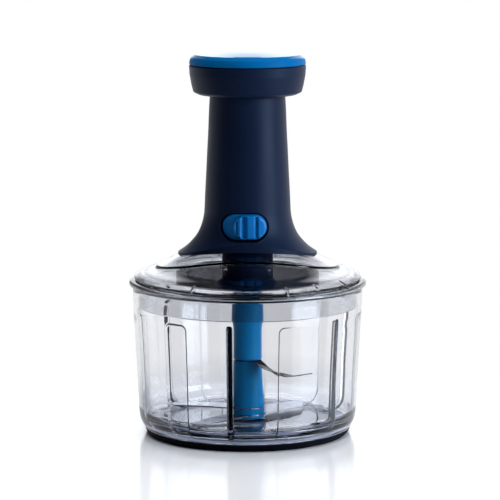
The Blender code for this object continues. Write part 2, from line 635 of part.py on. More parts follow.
def twisted_strip(name, width, thick, z0, z1, mat=None, cutter=False, step_deg=15.0):
    """A flat strip twisted about Z with a constant lead."""
    turn = 2 * math.pi / STRIP_LEAD
    n = max(2, math.ceil(math.degrees(turn * (z1 - z0)) / step_deg))
    bm = bmesh.new()
    rings = []
    for i in range(n + 1):
        z = z0 + (z1 - z0) * i / n
        a = turn * (z - NUT_Z0)
        c, s = math.cos(a), math.sin(a)
        rings.append([bm.verts.new((c * u - s * v, s * u + c * v, z)) for u, v in (
            (-width / 2, -thick / 2), (width / 2, -thick / 2),
            (width / 2, thick / 2), (-width / 2, thick / 2))])
    for a, b in zip(rings, rings[1:]):
        for i in range(4):
            j = (i + 1) % 4
            bm.faces.new((a[i], a[j], b[j], b[i]))
    bm.faces.new(rings[0])
    bm.faces.new(rings[-1])
    return from_bmesh(name, bm, mat, cutter, smooth=50)


drive_nut = turned("drive_nut", [
    (0.0, NUT_Z1), (TUBE_R - TUBE_WALL - 0.3 * MM, NUT_Z1),
    (TUBE_R - TUBE_WALL - 0.3 * MM, NUT_Z0), (0.0, NUT_Z0)], SEG_MID, "nylon")
cut(drive_nut, twisted_strip("nut_slot", STRIP_W + 0.9 * MM, STRIP_T + 0.9 * MM,
                             NUT_Z0 - 1.0 * MM, NUT_Z1 + 1.0 * MM, cutter=True, step_deg=8.0))

# ------------------------------------------------------------------ drive
drive_shaft = twisted_strip("drive_shaft", STRIP_W, STRIP_T, STRIP_Z0, STRIP_Z1, "steel")
add(drive_shaft, turned("shaft_journal", [
    (0.0, 127.4 * MM), (3.6 * MM, 127.4 * MM), (4.0 * MM, 127.0 * MM), (4.0 * MM, 103.4 * MM),
    (3.6 * MM, 103.0 * MM), (0.0, 103.0 * MM)], SEG_SMALL, cutter=True))

retaining_ring = turned("retaining_ring", [
    (4.3 * MM, 124.2 * MM), (6.4 * MM, 124.2 * MM), (6.4 * MM, 123.3 * MM),
    (4.3 * MM, 123.3 * MM)], SEG_SMALL, "steel", closed=True)


def saw_teeth(name, r_in, r_out, z_flat, z_low, z_high, count, mat):
    """A ring with saw teeth on one face: the one-way clutch."""
    bm = bmesh.new()
    per = 2 * math.pi / count
    inner_t, outer_t, inner_b, outer_b = [], [], [], []
    for k in range(count):
        for frac, z in ((0.0, z_low), (0.97, z_high)):
            a = per * (k + frac)
            c, s = math.cos(a), math.sin(a)
            inner_t.append(bm.verts.new((r_in * c, r_in * s, z)))
            outer_t.append(bm.verts.new((r_out * c, r_out * s, z)))
            inner_b.append(bm.verts.new((r_in * c, r_in * s, z_flat)))
            outer_b.append(bm.verts.new((r_out * c, r_out * s, z_flat)))
    n = len(inner_t)
    for i in range(n):
        j = (i + 1) % n
        bm.faces.new((inner_t[i], outer_t[i], outer_t[j], inner_t[j]))
        bm.faces.new((inner_b[i], inner_b[j], outer_b[j], outer_b[i]))
        bm.faces.new((outer_t[i], outer_b[i], outer_b[j], outer_t[j]))
        bm.faces.new((inner_t[i], inner_t[j], inner_b[j], inner_b[i]))
    return from_bmesh(name, bm, mat)


CLUTCH_TEETH = 12
clutch_driver = saw_teeth("clutch_driver", 4.3 * MM, 12.6 * MM, 114.4 * MM, 109.9 * MM,
                          111.3 * MM, CLUTCH_TEETH, "steel")
drive_coupler = saw_teeth("drive_coupler", 4.3 * MM, 12.6 * MM, 103.6 * MM, 109.5 * MM,
                          110.9 * MM, CLUTCH_TEETH, "navy")
add(drive_coupler, rod("coupler_disc", 8.2 * MM, 99.8 * MM, 102.6 * MM, segs=24, cutter=True),
    turned("coupler_skirt", [(4.3 * MM, 104.4 * MM), (9.6 * MM, 104.4 * MM),
                             (9.6 * MM, 102.0 * MM), (4.3 * MM, 102.0 * MM)], 24,
           closed=True, cutter=True),
    prism("coupler_hex", regular(6, 8.2 * MM), 87.4 * MM, 100.4 * MM, cutter=True))

# The return spring stands on the hub and pushes up under the nut.
SPRING_R = 9.4 * MM
SPRING_WIRE = 1.1 * MM
SPRING_Z0 = 125.4 * MM
SPRING_Z1 = 140.6 * MM
SPRING_TURNS = 7
spring_curve = bpy.data.curves.new("return_spring", "CURVE")
spring_curve.dimensions = "3D"
spring_curve.bevel_depth = SPRING_WIRE / 2
spring_curve.bevel_resolution = 1
spring_curve.use_fill_caps = True
spline = spring_curve.splines.new("POLY")
spring_pts = []
per_turn = 10
low, high = SPRING_Z0 + SPRING_WIRE / 2, SPRING_Z1 - SPRING_WIRE / 2
for i in range(SPRING_TURNS * per_turn + 1):
    t = i / (SPRING_TURNS * per_turn)
    a = 2 * math.pi * SPRING_TURNS * t
    spring_pts.append((SPRING_R * math.cos(a), SPRING_R * math.sin(a), low + (high - low) * t))
spline.points.add(len(spring_pts) - 1)
for point, co in zip(spline.points, spring_pts):
    point.co = (*co, 1.0)
return_spring = bpy.data.objects.new("return_spring", spring_curve)
place(return_spring, parts, "steel")

spring_seat = turned("spring_seat", [
    (7.4 * MM, 125.1 * MM), (11.6 * MM, 125.1 * MM), (11.6 * MM, 123.7 * MM),
    (9.4 * MM, 123.7 * MM), (9.4 * MM, 123.2 * MM), (7.4 * MM, 123.2 * MM)],
    SEG_SMALL, "nylon", closed=True)

# ------------------------------------------------------------------ slide lock
def curved_plate(name, width, height, cx, r_in, r_out, mat, steps=14):
    """A stadium-shaped plate bent about the column's axis."""
    half = math.degrees(math.asin((width / 2 + abs(cx) + 1.0 * MM) / r_in))
    obj = panel_band(0.0, half, lambda z: r_in, lambda z: r_out,
                     [LOCK_Z - height / 2 - 1.0 * MM, LOCK_Z + height / 2 + 1.0 * MM],
                     name, steps=steps)
    cutters.objects.unlink(obj)
    place(obj, parts, mat)
    obj.hide_render = False
    obj.display_type = "TEXTURED"
    outline = stand_up(prism(name + "_outline", stadium(width, height, cx, LOCK_Z),
                             15.0 * MM, 44.0 * MM, cutter=True))
    boolean(obj, outline, "INTERSECT")
    return obj


lock_bezel = curved_plate("lock_bezel", LOCK_BEZEL_W, LOCK_BEZEL_H, LOCK_POCKET_X + 0.6 * MM,
                          LOCK_POCKET_R + GAP, LOCK_POCKET_R + GAP + 1.0 * MM, "blue")
cut(lock_bezel, panel_band(LOCK_SLOT_MID, LOCK_SLOT_HALF, lambda z: 21.0 * MM,
                           lambda z: 29.0 * MM, slot_z, "bezel_slot", steps=6))

lock_slider = curved_plate("lock_slider", LOCK_PAD_W, LOCK_PAD_H, LOCK_PAD_X,
                           LOCK_POCKET_R + 2 * GAP + 1.0 * MM, LOCK_PAD_R, "blue", steps=16)
add(lock_slider, panel_band(LOCK_POST_DEG, 6.0, lambda z: 23.6 * MM, lambda z: 28.6 * MM,
                            [134.0 * MM, 140.0 * MM], "slider_post", steps=3))
for k, x in enumerate((-5.4, 0.4, 7.0)):
    cut(lock_slider, box("pad_groove_%d" % k, ((x - 0.7) * MM, -36.0 * MM, 128.0 * MM),
                         ((x + 0.7) * MM, -math.sqrt(30.0 ** 2 - x ** 2) * MM, 146.0 * MM),
                         cutter=True))

lock_bolt = panel_band(5.5, 14.0, lambda z: 21.3 * MM, lambda z: 23.3 * MM,
                       [133.2 * MM, 140.8 * MM], "lock_bolt", steps=6)
cutters.objects.unlink(lock_bolt)
place(lock_bolt, parts, "steel")
lock_bolt.hide_render = False
lock_bolt.display_type = "TEXTURED"
add(lock_bolt, panel_band(16.5, 4.0, lambda z: 17.4 * MM, lambda z: 21.9 * MM,
                          [136.0 * MM, 138.4 * MM], "bolt_tongue", steps=2))

# ------------------------------------------------------------------ bladed stem
BORE_W = STEM_CORE_W + 0.6 * MM


def square(width):
    h = width / 2
    return [(-h, -h), (h, -h), (h, h), (-h, h)]


def stem_piece(name, outer, bore_z0, bore_z1):
    """A turned stem segment (outer points, top to bottom) with a square bore."""
    profile = [(0.0, outer[0][1])] + outer + [(0.0, outer[-1][1])]
    obj = turned(name, profile, SEG_MID, "stem")
    cut(obj, prism(name + "_bore", square(BORE_W), bore_z0, bore_z1, cutter=True))
    return obj


stem_upper = stem_piece("stem_upper", [
    (7.4 * MM, 96.6 * MM), (8.1 * MM, 95.8 * MM), (8.1 * MM, 88.6 * MM), (8.8 * MM, 86.0 * MM),
    (10.1 * MM, 84.2 * MM), (10.3 * MM, 78.0 * MM), (10.2 * MM, 73.0 * MM), (9.5 * MM, 70.2 * MM),
    (9.2 * MM, 67.8 * MM), (9.2 * MM, 52.0 * MM), (9.3 * MM, 48.0 * MM)],
    40.0 * MM, 85.0 * MM)
cut(stem_upper, prism("stem_socket", regular(6, 8.9 * MM), 86.8 * MM, 100.0 * MM, cutter=True))

stem_middle = stem_piece("stem_middle", [
    (9.3 * MM, 46.5 * MM), (9.4 * MM, 40.0 * MM), (9.8 * MM, 32.0 * MM), (10.5 * MM, 22.0 * MM),
    (10.9 * MM, 16.9 * MM)], 10.0 * MM, 60.0 * MM)

stem_lower = stem_piece("stem_lower", [(11.0 * MM, 15.3 * MM), (11.1 * MM, 12.3 * MM)],
                        10.0 * MM, 20.0 * MM)

stem_foot = turned("stem_foot", [
    (8.4 * MM, 10.7 * MM), (11.1 * MM, 10.7 * MM), (10.9 * MM, 9.4 * MM), (10.5 * MM, 9.0 * MM),
    (8.4 * MM, 9.0 * MM)], SEG_MID, "stem", closed=True)

stem_core = prism("stem_core", square(STEM_CORE_W), 14.3 * MM, 84.6 * MM, "steel")
cut(stem_core, rod("pin_bore", PIN_R + GAP, 8.0 * MM, 43.0 * MM, segs=16, cutter=True))


def blade(name, z_hub, arms, hub_r, bore, mat="steel"):
    """A sheet-steel blade: a hub disc with lofted arms.

    Each arm is (azimuth, sections); a section is
    (distance out, lead offset, trail offset, lead drop, trail drop, thickness).
    """
    obj = rod(name, hub_r, z_hub - 0.4 * MM, z_hub + 0.4 * MM, segs=24, mat=mat)
    for k, (deg, secs) in enumerate(arms):
        a = math.radians(deg)
        out = Vector((math.sin(a), -math.cos(a), 0))
        side = Vector((math.cos(a), math.sin(a), 0))
        bm = bmesh.new()
        rings = []
        for d, lead, trail, zl, zt, thick in secs:
            base = out * d * MM
            up = Vector((0, 0, thick * MM / 2))
            p = base + side * lead * MM + Vector((0, 0, z_hub + zl * MM))
            q = base + side * trail * MM + Vector((0, 0, z_hub + zt * MM))
            bev = (q - p).normalized() * 1.6 * MM
            rings.append([bm.verts.new(v) for v in
                          (p, p + bev + up, q + up, q - up, p + bev - up)])
        n = len(rings[0])
        for r0, r1 in zip(rings, rings[1:]):
            for i in range(n):
                j = (i + 1) % n
                bm.faces.new((r0[i], r0[j], r1[j], r1[i]))
        bm.faces.new(rings[0])
        bm.faces.new(rings[-1])
        add(obj, from_bmesh("%s_arm_%d" % (name, k), bm, cutter=True))
    cut(obj, bore)
    return obj


def square_bore(name, z):
    return prism(name, square(BORE_W), z - 3 * MM, z + 3 * MM, cutter=True)


blade_upper = blade("blade_upper", 47.25 * MM, [
    (40.0, [(4.0, -5.0, 5.0, 0.05, 0.05, 0.72), (9.6, -4.6, 3.0, 0.0, 0.0, 0.75),
            (12.0, -5.2, 3.8, -0.4, -1.6, 0.76), (15.0, -5.6, 5.0, -0.9, -4.2, 0.78),
            (21.0, -5.0, 6.0, -2.7, -6.6, 0.78), (28.0, -4.6, 5.8, -3.4, -6.6, 0.78),
            (33.0, -4.2, 5.6, -5.2, -6.4, 0.76), (38.0, -3.9, 5.3, -5.6, -6.2, 0.76),
            (46.0, -3.2, 4.9, -4.0, -4.4, 0.74), (54.0, -2.0, 4.2, -2.1, -2.5, 0.72),
            (60.0, 0.6, 2.6, -0.8, -0.9, 0.68)])],
    8.3 * MM, square_bore("upper_bore", 47.25 * MM))

blade_middle = blade("blade_middle", 16.1 * MM, [
    (-92.0, [(4.0, -7.5, 7.5, 0.05, 0.05, 0.72), (10.0, -8.6, 7.8, 0.0, 0.0, 0.76),
             (24.0, -9.4, 7.6, 0.4, 0.9, 0.78), (38.0, -8.6, 7.0, 0.7, 1.3, 0.78),
             (47.0, -6.6, 5.8, 0.9, 1.4, 0.76), (52.5, -3.6, 3.4, 1.0, 1.5, 0.70)])],
    10.2 * MM, square_bore("middle_bore", 16.1 * MM))

lower_sections = [(4.0, -7.5, 7.5, 0.05, 0.05, 0.72), (10.5, -8.6, 8.0, 0.0, 0.0, 0.76),
                  (26.0, -9.0, 7.6, -0.5, 0.1, 0.78), (40.0, -7.6, 7.0, -0.9, 0.1, 0.78),
                  (49.0, -4.8, 5.6, -0.9, 0.1, 0.74), (54.0, -1.6, 3.4, -0.9, 0.0, 0.70)]
blade_lower = blade("blade_lower", 11.5 * MM, [(-44.0, lower_sections), (136.0, lower_sections)],
                    10.4 * MM, rod("lower_bore", 6.4 * MM, 8.0 * MM, 15.0 * MM, segs=24,
                                   cutter=True))

# ------------------------------------------------------------------ joint axes
# Empties carry the moving groups: the column's, the plunger's, the drive's, the lock's
# and the stem's pieces each hang under the empty on their own axis.
GROUPS = {
    "lid_axis": ((0.0, 0.0, BOWL_RIM_Z), [lid, lid_seal, hub_carrier, hub_cover, inner_shield,
                 shaft_bush, column_housing, guide_sleeve, lock_bezel, spring_seat, return_spring]
                 + lid_screws),
    "plunger_axis": ((0.0, 0.0, KNOB_BOTTOM_Z), [plunger_tube, knob_shell, knob_cap, drive_nut]
                     + knob_screws),
    "drive_axis": ((0.0, 0.0, 120.0 * MM), [drive_shaft, retaining_ring, clutch_driver,
                   drive_coupler]),
    "lock_axis": ((0.0, 0.0, LOCK_Z), [lock_slider, lock_bolt]),
    "blade_axis": ((0.0, 0.0, BOWL_FLOOR_Z), [stem_upper, stem_middle, stem_lower, stem_foot,
                   stem_core, blade_upper, blade_middle, blade_lower]),
}
for name, (where, members) in GROUPS.items():
    empty = bpy.data.objects.new(name, None)
    empty.location = where
    empty.empty_display_size = 0.02
    parts.objects.link(empty)
    for member in members:
        member.parent = empty
        member.matrix_parent_inverse = Matrix.Translation(-Vector(where))
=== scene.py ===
"""Plunger food chopper: the looks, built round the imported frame.

Metres in the scene; the shape tables below are in millimetres and go through MM.
Azimuth 0 is the front (-Y), + is to the right (+X).
"""
import math

import bmesh
import bpy
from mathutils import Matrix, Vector


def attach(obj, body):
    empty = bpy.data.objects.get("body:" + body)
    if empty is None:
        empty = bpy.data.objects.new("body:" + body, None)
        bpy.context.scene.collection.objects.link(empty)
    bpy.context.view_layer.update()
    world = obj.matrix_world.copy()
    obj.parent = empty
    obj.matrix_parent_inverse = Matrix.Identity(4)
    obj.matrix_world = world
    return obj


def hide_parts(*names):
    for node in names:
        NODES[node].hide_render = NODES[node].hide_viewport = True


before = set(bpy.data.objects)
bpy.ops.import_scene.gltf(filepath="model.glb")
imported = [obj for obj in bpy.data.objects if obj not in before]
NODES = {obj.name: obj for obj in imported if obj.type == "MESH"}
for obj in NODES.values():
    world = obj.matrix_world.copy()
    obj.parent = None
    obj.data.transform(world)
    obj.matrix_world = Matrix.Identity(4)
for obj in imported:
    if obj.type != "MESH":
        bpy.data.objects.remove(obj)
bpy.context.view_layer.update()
MM = 0.001


# ====================================================================== materials
def nodes_of(mat):
    mat.use_nodes = True
    tree = mat.node_tree
    tree.nodes.clear()
    out = tree.nodes.new("ShaderNodeOutputMaterial")
    bsdf = tree.nodes.new("ShaderNodeBsdfPrincipled")
    tree.links.new(bsdf.outputs[0], out.inputs["Surface"])
    return tree, bsdf, out


def noise(tree, scale, detail=3.0, rough=0.5, stretch=None, where="Object"):
    coord = tree.nodes.new("ShaderNodeTexCoord")
    mapping = tree.nodes.new("ShaderNodeMapping")
    if stretch:
        mapping.inputs["Scale"].default_value = stretch
    tex = tree.nodes.new("ShaderNodeTexNoise")
    tex.inputs["Scale"].default_value = scale
    tex.inputs["Detail"].default_value = detail
    tex.inputs["Roughness"].default_value = rough
    tree.links.new(coord.outputs[where], mapping.inputs["Vector"])
    tree.links.new(mapping.outputs["Vector"], tex.inputs["Vector"])
    return tex


def spread(tree, value, low, high, lo_in=0.35, hi_in=0.65):
    rng = tree.nodes.new("ShaderNodeMapRange")
    rng.inputs["From Min"].default_value = lo_in
    rng.inputs["From Max"].default_value = hi_in
    rng.inputs["To Min"].default_value = low
    rng.inputs["To Max"].default_value = high
    tree.links.new(value, rng.inputs["Value"])
    return rng.outputs["Result"]


def tones(tree, value, dark, light, lo=0.3, hi=0.7):
    ramp = tree.nodes.new("ShaderNodeValToRGB")
    ramp.color_ramp.elements[0].position = lo
    ramp.color_ramp.elements[0].color = (*dark, 1.0)
    ramp.color_ramp.elements[1].position = hi
    ramp.color_ramp.elements[1].color = (*light, 1.0)
    tree.links.new(value, ramp.inputs["Fac"])
    return ramp.outputs["Color"]


def bump(tree, bsdf, value, strength, distance):
    node = tree.nodes.new("ShaderNodeBump")
    node.inputs["Strength"].default_value = strength
    node.inputs["Distance"].default_value = distance
    tree.links.new(value, node.inputs["Height"])
    tree.links.new(node.outputs["Normal"], bsdf.inputs["Normal"])
    return node


def moulded(name, dark, light, rough, grain=1800.0, depth=0.00002, strength=0.25,
            coat=0.0, coat_rough=0.1, specular=0.5, sheen=(1.0, 1.0, 1.0)):
    """Injection-moulded plastic: a fine texture, faint tone shifts, uneven gloss."""
    mat = bpy.data.materials.new(name)
    tree, bsdf, _ = nodes_of(mat)
    broad = noise(tree, 22.0, 2.0)
    fine = noise(tree, grain, 2.0)
    tree.links.new(tones(tree, broad.outputs["Fac"], dark, light), bsdf.inputs["Base Color"])
    tree.links.new(spread(tree, broad.outputs["Fac"], rough[0], rough[1]),
                   bsdf.inputs["Roughness"])
    bump(tree, bsdf, fine.outputs["Fac"], strength, depth)
    bsdf.inputs["Coat Weight"].default_value = coat
    bsdf.inputs["Coat Roughness"].default_value = coat_rough
    bsdf.inputs["Specular IOR Level"].default_value = specular
    bsdf.inputs["Specular Tint"].default_value = (*sheen, 1.0)
    return mat


def see_through(name, tint_dark, tint_light, shadow, rough, ior=1.5, wave=0.00006,
                wave_strength=0.06, depth_color=(0.4, 0.45, 0.55), density=50.0, low_tint=None):
    """Clear moulded plastic: refracts, carries a faint flow pattern, lets lamps through.

    The plastic's own grey builds up with depth, so ribs and edges look darker. With low_tint
    the wall is a little deeper in tone just above its floor.
    """
    mat = bpy.data.materials.new(name)
    tree, bsdf, out = nodes_of(mat)
    flow = noise(tree, 16.0, 2.0, stretch=(1.0, 1.0, 0.45))
    tint = tones(tree, flow.outputs["Fac"], tint_dark, tint_light)
    if low_tint:
        coord = tree.nodes.new("ShaderNodeTexCoord")
        split = tree.nodes.new("ShaderNodeSeparateXYZ")
        tree.links.new(coord.outputs["Object"], split.inputs[0])
        high = tree.nodes.new("ShaderNodeMath")
        high.operation = "MAXIMUM"
        tree.links.new(spread(tree, split.outputs["Z"], 0.0, 1.0, 0.020, 0.040), high.inputs[0])
        tree.links.new(spread(tree, split.outputs["Z"], 1.0, 0.0, 0.0085, 0.0125), high.inputs[1])
        deep = tree.nodes.new("ShaderNodeMix")
        deep.data_type = "RGBA"
        tree.links.new(high.outputs[0], deep.inputs["Factor"])
        deep.inputs["A"].default_value = (*low_tint, 1.0)
        tree.links.new(tint, deep.inputs["B"])
        tint = deep.outputs["Result"]
    tree.links.new(tint, bsdf.inputs["Base Color"])
    tree.links.new(spread(tree, flow.outputs["Fac"], rough[0], rough[1]),
                   bsdf.inputs["Roughness"])
    bump(tree, bsdf, flow.outputs["Fac"], wave_strength, wave)
    bsdf.inputs["Transmission Weight"].default_value = 1.0
    bsdf.inputs["IOR"].default_value = ior
    path = tree.nodes.new("ShaderNodeLightPath")
    clear = tree.nodes.new("ShaderNodeBsdfTransparent")
    clear.inputs["Color"].default_value = (*shadow, 1.0)
    mix = tree.nodes.new("ShaderNodeMixShader")
    tree.links.new(path.outputs["Is Shadow Ray"], mix.inputs["Fac"])
    tree.links.new(bsdf.outputs[0], mix.inputs[1])
    tree.links.new(clear.outputs[0], mix.inputs[2])
    tree.links.new(mix.outputs[0], out.inputs["Surface"])
    body = tree.nodes.new("ShaderNodeVolumeAbsorption")
    body.inputs["Color"].default_value = (*depth_color, 1.0)
    body.inputs["Density"].default_value = density
    tree.links.new(body.outputs[0], out.inputs["Volume"])
    return mat


def metal(name, dark, light, rough, stretch, scale=900.0, strength=0.08):
    """Stainless steel with drawn or ground streaks along one direction."""
    mat = bpy.data.materials.new(name)
    tree, bsdf, _ = nodes_of(mat)
    streak = noise(tree, scale, 3.0, stretch=stretch)
    tree.links.new(tones(tree, streak.outputs["Fac"], dark, light), bsdf.inputs["Base Color"])
    tree.links.new(spread(tree, streak.outputs["Fac"], rough[0], rough[1]),
                   bsdf.inputs["Roughness"])
    bump(tree, bsdf, streak.outputs["Fac"], strength, 0.00001)
    bsdf.inputs["Metallic"].default_value = 1.0
    return mat


CLEAR = see_through("clear_plastic", (0.982, 0.984, 0.992), (0.992, 0.994, 0.998),
                    (0.80, 0.81, 0.84), (0.008, 0.022), ior=1.49,
                    depth_color=(0.38, 0.42, 0.54), density=48.0, low_tint=(0.82, 0.83, 0.86))
# A near-black copy of the clear plastic: painted shade for the ribs and rim lines that look dark
PAINTED_SHADE_CLEAR = see_through("clear_plastic_painted_shade", (0.010, 0.011, 0.014), (0.016, 0.017, 0.021),
                  (0.30, 0.31, 0.34), (0.02, 0.04), ior=1.49,
                  depth_color=(0.38, 0.42, 0.54), density=48.0)
SMOKED = see_through("smoked_plastic", (0.735, 0.747, 0.770), (0.765, 0.776, 0.795),
                     (0.80, 0.81, 0.84), (0.012, 0.03), ior=1.42,
                     depth_color=(0.34, 0.36, 0.44), density=52.0)
# A near-black, part-opaque copy in place of the smoked plastic for the cup inside the lid: painted
# shade for the dark inside of the lid
SHIELD_PAINTED_SHADE = moulded("smoked_plastic_painted_shade", (0.003, 0.008, 0.024), (0.005, 0.012, 0.032),
                 (0.30, 0.40), grain=900.0, strength=0.10, specular=0.0)
for node in SHIELD_PAINTED_SHADE.node_tree.nodes:
    if node.type == "BSDF_PRINCIPLED":
        node.inputs["Alpha"].default_value = 0.60
NAVY = moulded("navy_plastic", (0.0036, 0.0088, 0.030), (0.0048, 0.0112, 0.036),
               (0.42, 0.48), grain=1500.0, strength=0.18, specular=0.16,
               sheen=(0.60, 0.78, 1.0))
# A darker, duller copy of the navy for the parts inside the lid and column: painted shade
NAVY_INNER_SHADED = moulded("navy_plastic_inner_shaded", (0.0030, 0.0070, 0.024), (0.0040, 0.0090, 0.029),
                     (0.40, 0.50), grain=900.0, strength=0.15, specular=0.04)
BLUE = moulded("blue_plastic", (0.0003, 0.108, 0.290), (0.0006, 0.126, 0.325),
               (0.26, 0.32), grain=1200.0, strength=0.05, coat=0.9, coat_rough=0.24, specular=0.1)
# The cap's side: satin, and a little darker than the crown as painted shade
BLUE_SIDE_SHADED = moulded("blue_plastic_side_shaded", (0.0003, 0.098, 0.290), (0.0006, 0.114, 0.325),
                    (0.36, 0.42), grain=1200.0, strength=0.05, specular=0.03)
LOCK = moulded("lock_plastic", (0.0005, 0.135, 0.420), (0.0010, 0.155, 0.470),
               (0.26, 0.32), grain=1200.0, strength=0.05, coat=0.5, coat_rough=0.20, specular=0.1)
STEM = moulded("stem_plastic", (0.0009, 0.140, 0.330), (0.0014, 0.162, 0.370),
               (0.28, 0.36), grain=1100.0, strength=0.10, specular=0.1)
RUBBER = moulded("rubber", (0.0018, 0.0026, 0.0050), (0.0032, 0.0044, 0.0080),
                 (0.55, 0.70), grain=2200.0, strength=0.35, depth=0.00003, specular=0.05)
# Pale blue-grey for the black ring's top and inner faces: painted light, so the bowl's corner above the
# ring reads light
RUBBER_TOP_PAINTED_LIGHT = moulded("rubber_top_painted_light", (0.34, 0.36, 0.43), (0.42, 0.44, 0.52), (0.40, 0.50),
                     grain=1200.0, specular=0.3)
SEAL = moulded("seal", (0.42, 0.44, 0.48), (0.50, 0.52, 0.56), (0.35, 0.45), grain=900.0)
NYLON = moulded("nylon", (0.62, 0.62, 0.58), (0.70, 0.70, 0.66), (0.40, 0.50), grain=900.0)
STEEL = metal("steel", (0.50, 0.51, 0.53), (0.66, 0.67, 0.69), (0.16, 0.28), (1.0, 1.0, 9.0))
BLADE_LOW = metal("blade_steel_low", (0.27, 0.285, 0.33), (0.35, 0.37, 0.42), (0.20, 0.30),
                  (7.0, 1.0, 1.0), scale=500.0)
# Near-black for the top blade: painted shade and dark reflections on a steel blade seen edge-on
BLADE = moulded("blade_steel", (0.008, 0.008, 0.010), (0.016, 0.016, 0.019), (0.26, 0.36),
                grain=700.0, strength=0.05, specular=0.10)
SPRING = metal("spring_steel", (0.38, 0.38, 0.40), (0.52, 0.52, 0.55), (0.22, 0.34),
               (1.0, 1.0, 1.0), scale=1400.0)


# ====================================================================== mesh helpers
def curve_of(table):
    """Monotone cubic through (x, y) points, straight beyond the ends."""
    pts = sorted(table)
    xs = [p[0] for p in pts]
    ys = [p[1] for p in pts]
    n = len(xs)
    d = [(ys[i + 1] - ys[i]) / (xs[i + 1] - xs[i]) for i in range(n - 1)]
    m = [d[0]] + [0.0 if d[i - 1] * d[i] <= 0 else 2 * d[i - 1] * d[i] / (d[i - 1] + d[i])
                  for i in range(1, n - 1)] + [d[-1]]

    def value(x):
        if x <= xs[0]:
            return ys[0] + m[0] * (x - xs[0])
        for i in range(n - 1):
            if x <= xs[i + 1]:
                h = xs[i + 1] - xs[i]
                t = (x - xs[i]) / h
                return ((2 * t ** 3 - 3 * t ** 2 + 1) * ys[i] + (t ** 3 - 2 * t ** 2 + t) * h * m[i]
                        + (3 * t ** 2 - 2 * t ** 3) * ys[i + 1] + (t ** 3 - t ** 2) * h * m[i + 1])
        return ys[-1] + m[-1] * (x - xs[-1])
    return value


def smooth01(x):
    x = max(0.0, min(1.0, x))
    return x * x * (3 - 2 * x)


def rounded(points, radius, closed=True, step=14.0):
    """Polyline of (r, z[, radius]) with its corners rounded by arcs."""
    out = []
    count = len(points)
    for i, p in enumerate(points):
        rad = p[2] if len(p) > 2 else radius
        if rad <= 0 or (not closed and i in (0, count - 1)):
            out.append((p[0], p[1]))
            continue
        a, b, c = (Vector(points[i - 1][:2]), Vector(p[:2]), Vector(points[(i + 1) % count][:2]))
        u, v = a - b, c - b
        lu, lv = u.length, v.length
        u, v = u / lu, v / lv
        half = math.acos(max(-1.0, min(1.0, u.dot(v)))) / 2
        if half > math.radians(87.5):
            out.append((b.x, b.y))
            continue
        t = min(rad / math.tan(half), 0.47 * lu, 0.47 * lv)
        r = t * math.tan(half)
        centre = b + (u + v).normalized() * (r / math.sin(half))
        s, e = b + u * t - centre, b + v * t - centre
        a0 = math.atan2(s.y, s.x)
        turn = (math.atan2(e.y, e.x) - a0 + math.pi) % (2 * math.pi) - math.pi
        n = max(2, math.ceil(abs(math.degrees(turn)) / step))
        for k in range(n + 1):
            q = a0 + turn * k / n
            out.append((centre.x + r * math.cos(q), centre.y + r * math.sin(q)))
    return out


def make(name, verts, faces, mat, sharp=None, weighted=True):
    bm = bmesh.new()
    vs = [bm.verts.new(Vector(v) * MM) for v in verts]
    for f in faces:
        bm.faces.new([vs[i] for i in f])
    bmesh.ops.remove_doubles(bm, verts=bm.verts, dist=0.000002)
    bmesh.ops.dissolve_degenerate(bm, dist=0.000002, edges=bm.edges)
    bmesh.ops.recalc_face_normals(bm, faces=bm.faces)
    mesh = bpy.data.meshes.new(name)
    bm.to_mesh(mesh)
    bm.free()
    return dress(bpy.data.objects.new(name, mesh), mat, sharp, weighted)


def dress(obj, mat, sharp=None, weighted=True):
    if obj.name not in bpy.context.scene.collection.objects:
        bpy.context.scene.collection.objects.link(obj)
    obj.data.materials.clear()
    obj.data.materials.append(mat)
    obj.data.shade_smooth()
    if sharp:
        obj.data.set_sharp_from_angle(angle=math.radians(sharp))
    if weighted:
        mod = obj.modifiers.new("normals", "WEIGHTED_NORMAL")
        mod.keep_sharp = True
        mod.weight = 80
    return obj


def ring_point(deg, r, z):
    a = math.radians(deg)
    return (r * math.sin(a), -r * math.cos(a), z)


def lathe(name, profile, mat, segs=160, closed=True, degs=None, shape=None, sharp=None,
          weighted=True):
    """Turned solid. shape(deg, j, r, z) may move a point of profile row j."""
    degs = degs or [360.0 * i / segs for i in range(segs)]
    n = len(degs)
    verts, rows = [], []
    for j, (r, z) in enumerate(profile):
        if r < 1e-4:
            rows.append([len(verts)] * n)
            verts.append((0.0, 0.0, z))
            continue
        rows.append(list(range(len(verts), len(verts) + n)))
        for deg in degs:
            rr, zz = shape(deg, j, r, z) if shape else (r, z)
            verts.append(ring_point(deg, rr, zz))
    faces = []
    last = len(rows) if closed else len(rows) - 1
    for j in range(last):
        a, b = rows[j], rows[(j + 1) % len(rows)]
        for i in range(n):
            k = (i + 1) % n
            quad = []
            for v in (a[i], a[k], b[k], b[i]):
                if v not in quad:
                    quad.append(v)
            if len(quad) >= 3:
                faces.append(quad)
    return make(name, verts, faces, mat, sharp, weighted)


def ellipse(deg, side, front):
    a = math.radians(deg)
    return 1.0 / math.sqrt((math.sin(a) / side) ** 2 + (math.cos(a) / front) ** 2)


def settle(obj, body, slot, *nodes):
    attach(obj, body)
    if nodes:
        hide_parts(*nodes)
    return obj


def apply_modifiers(obj):
    deps = bpy.context.evaluated_depsgraph_get()
    deps.update()
    mesh = bpy.data.meshes.new_from_object(obj.evaluated_get(deps))
    obj.modifiers.clear()
    obj.data = mesh
    return obj


def boolean(obj, cutter, operation="DIFFERENCE"):
    mod = obj.modifiers.new("cut", "BOOLEAN")
    mod.operation = operation
    mod.solver = "EXACT"
    mod.object = cutter
    apply_modifiers(obj)
    bpy.data.objects.remove(cutter, do_unlink=True)
    return obj


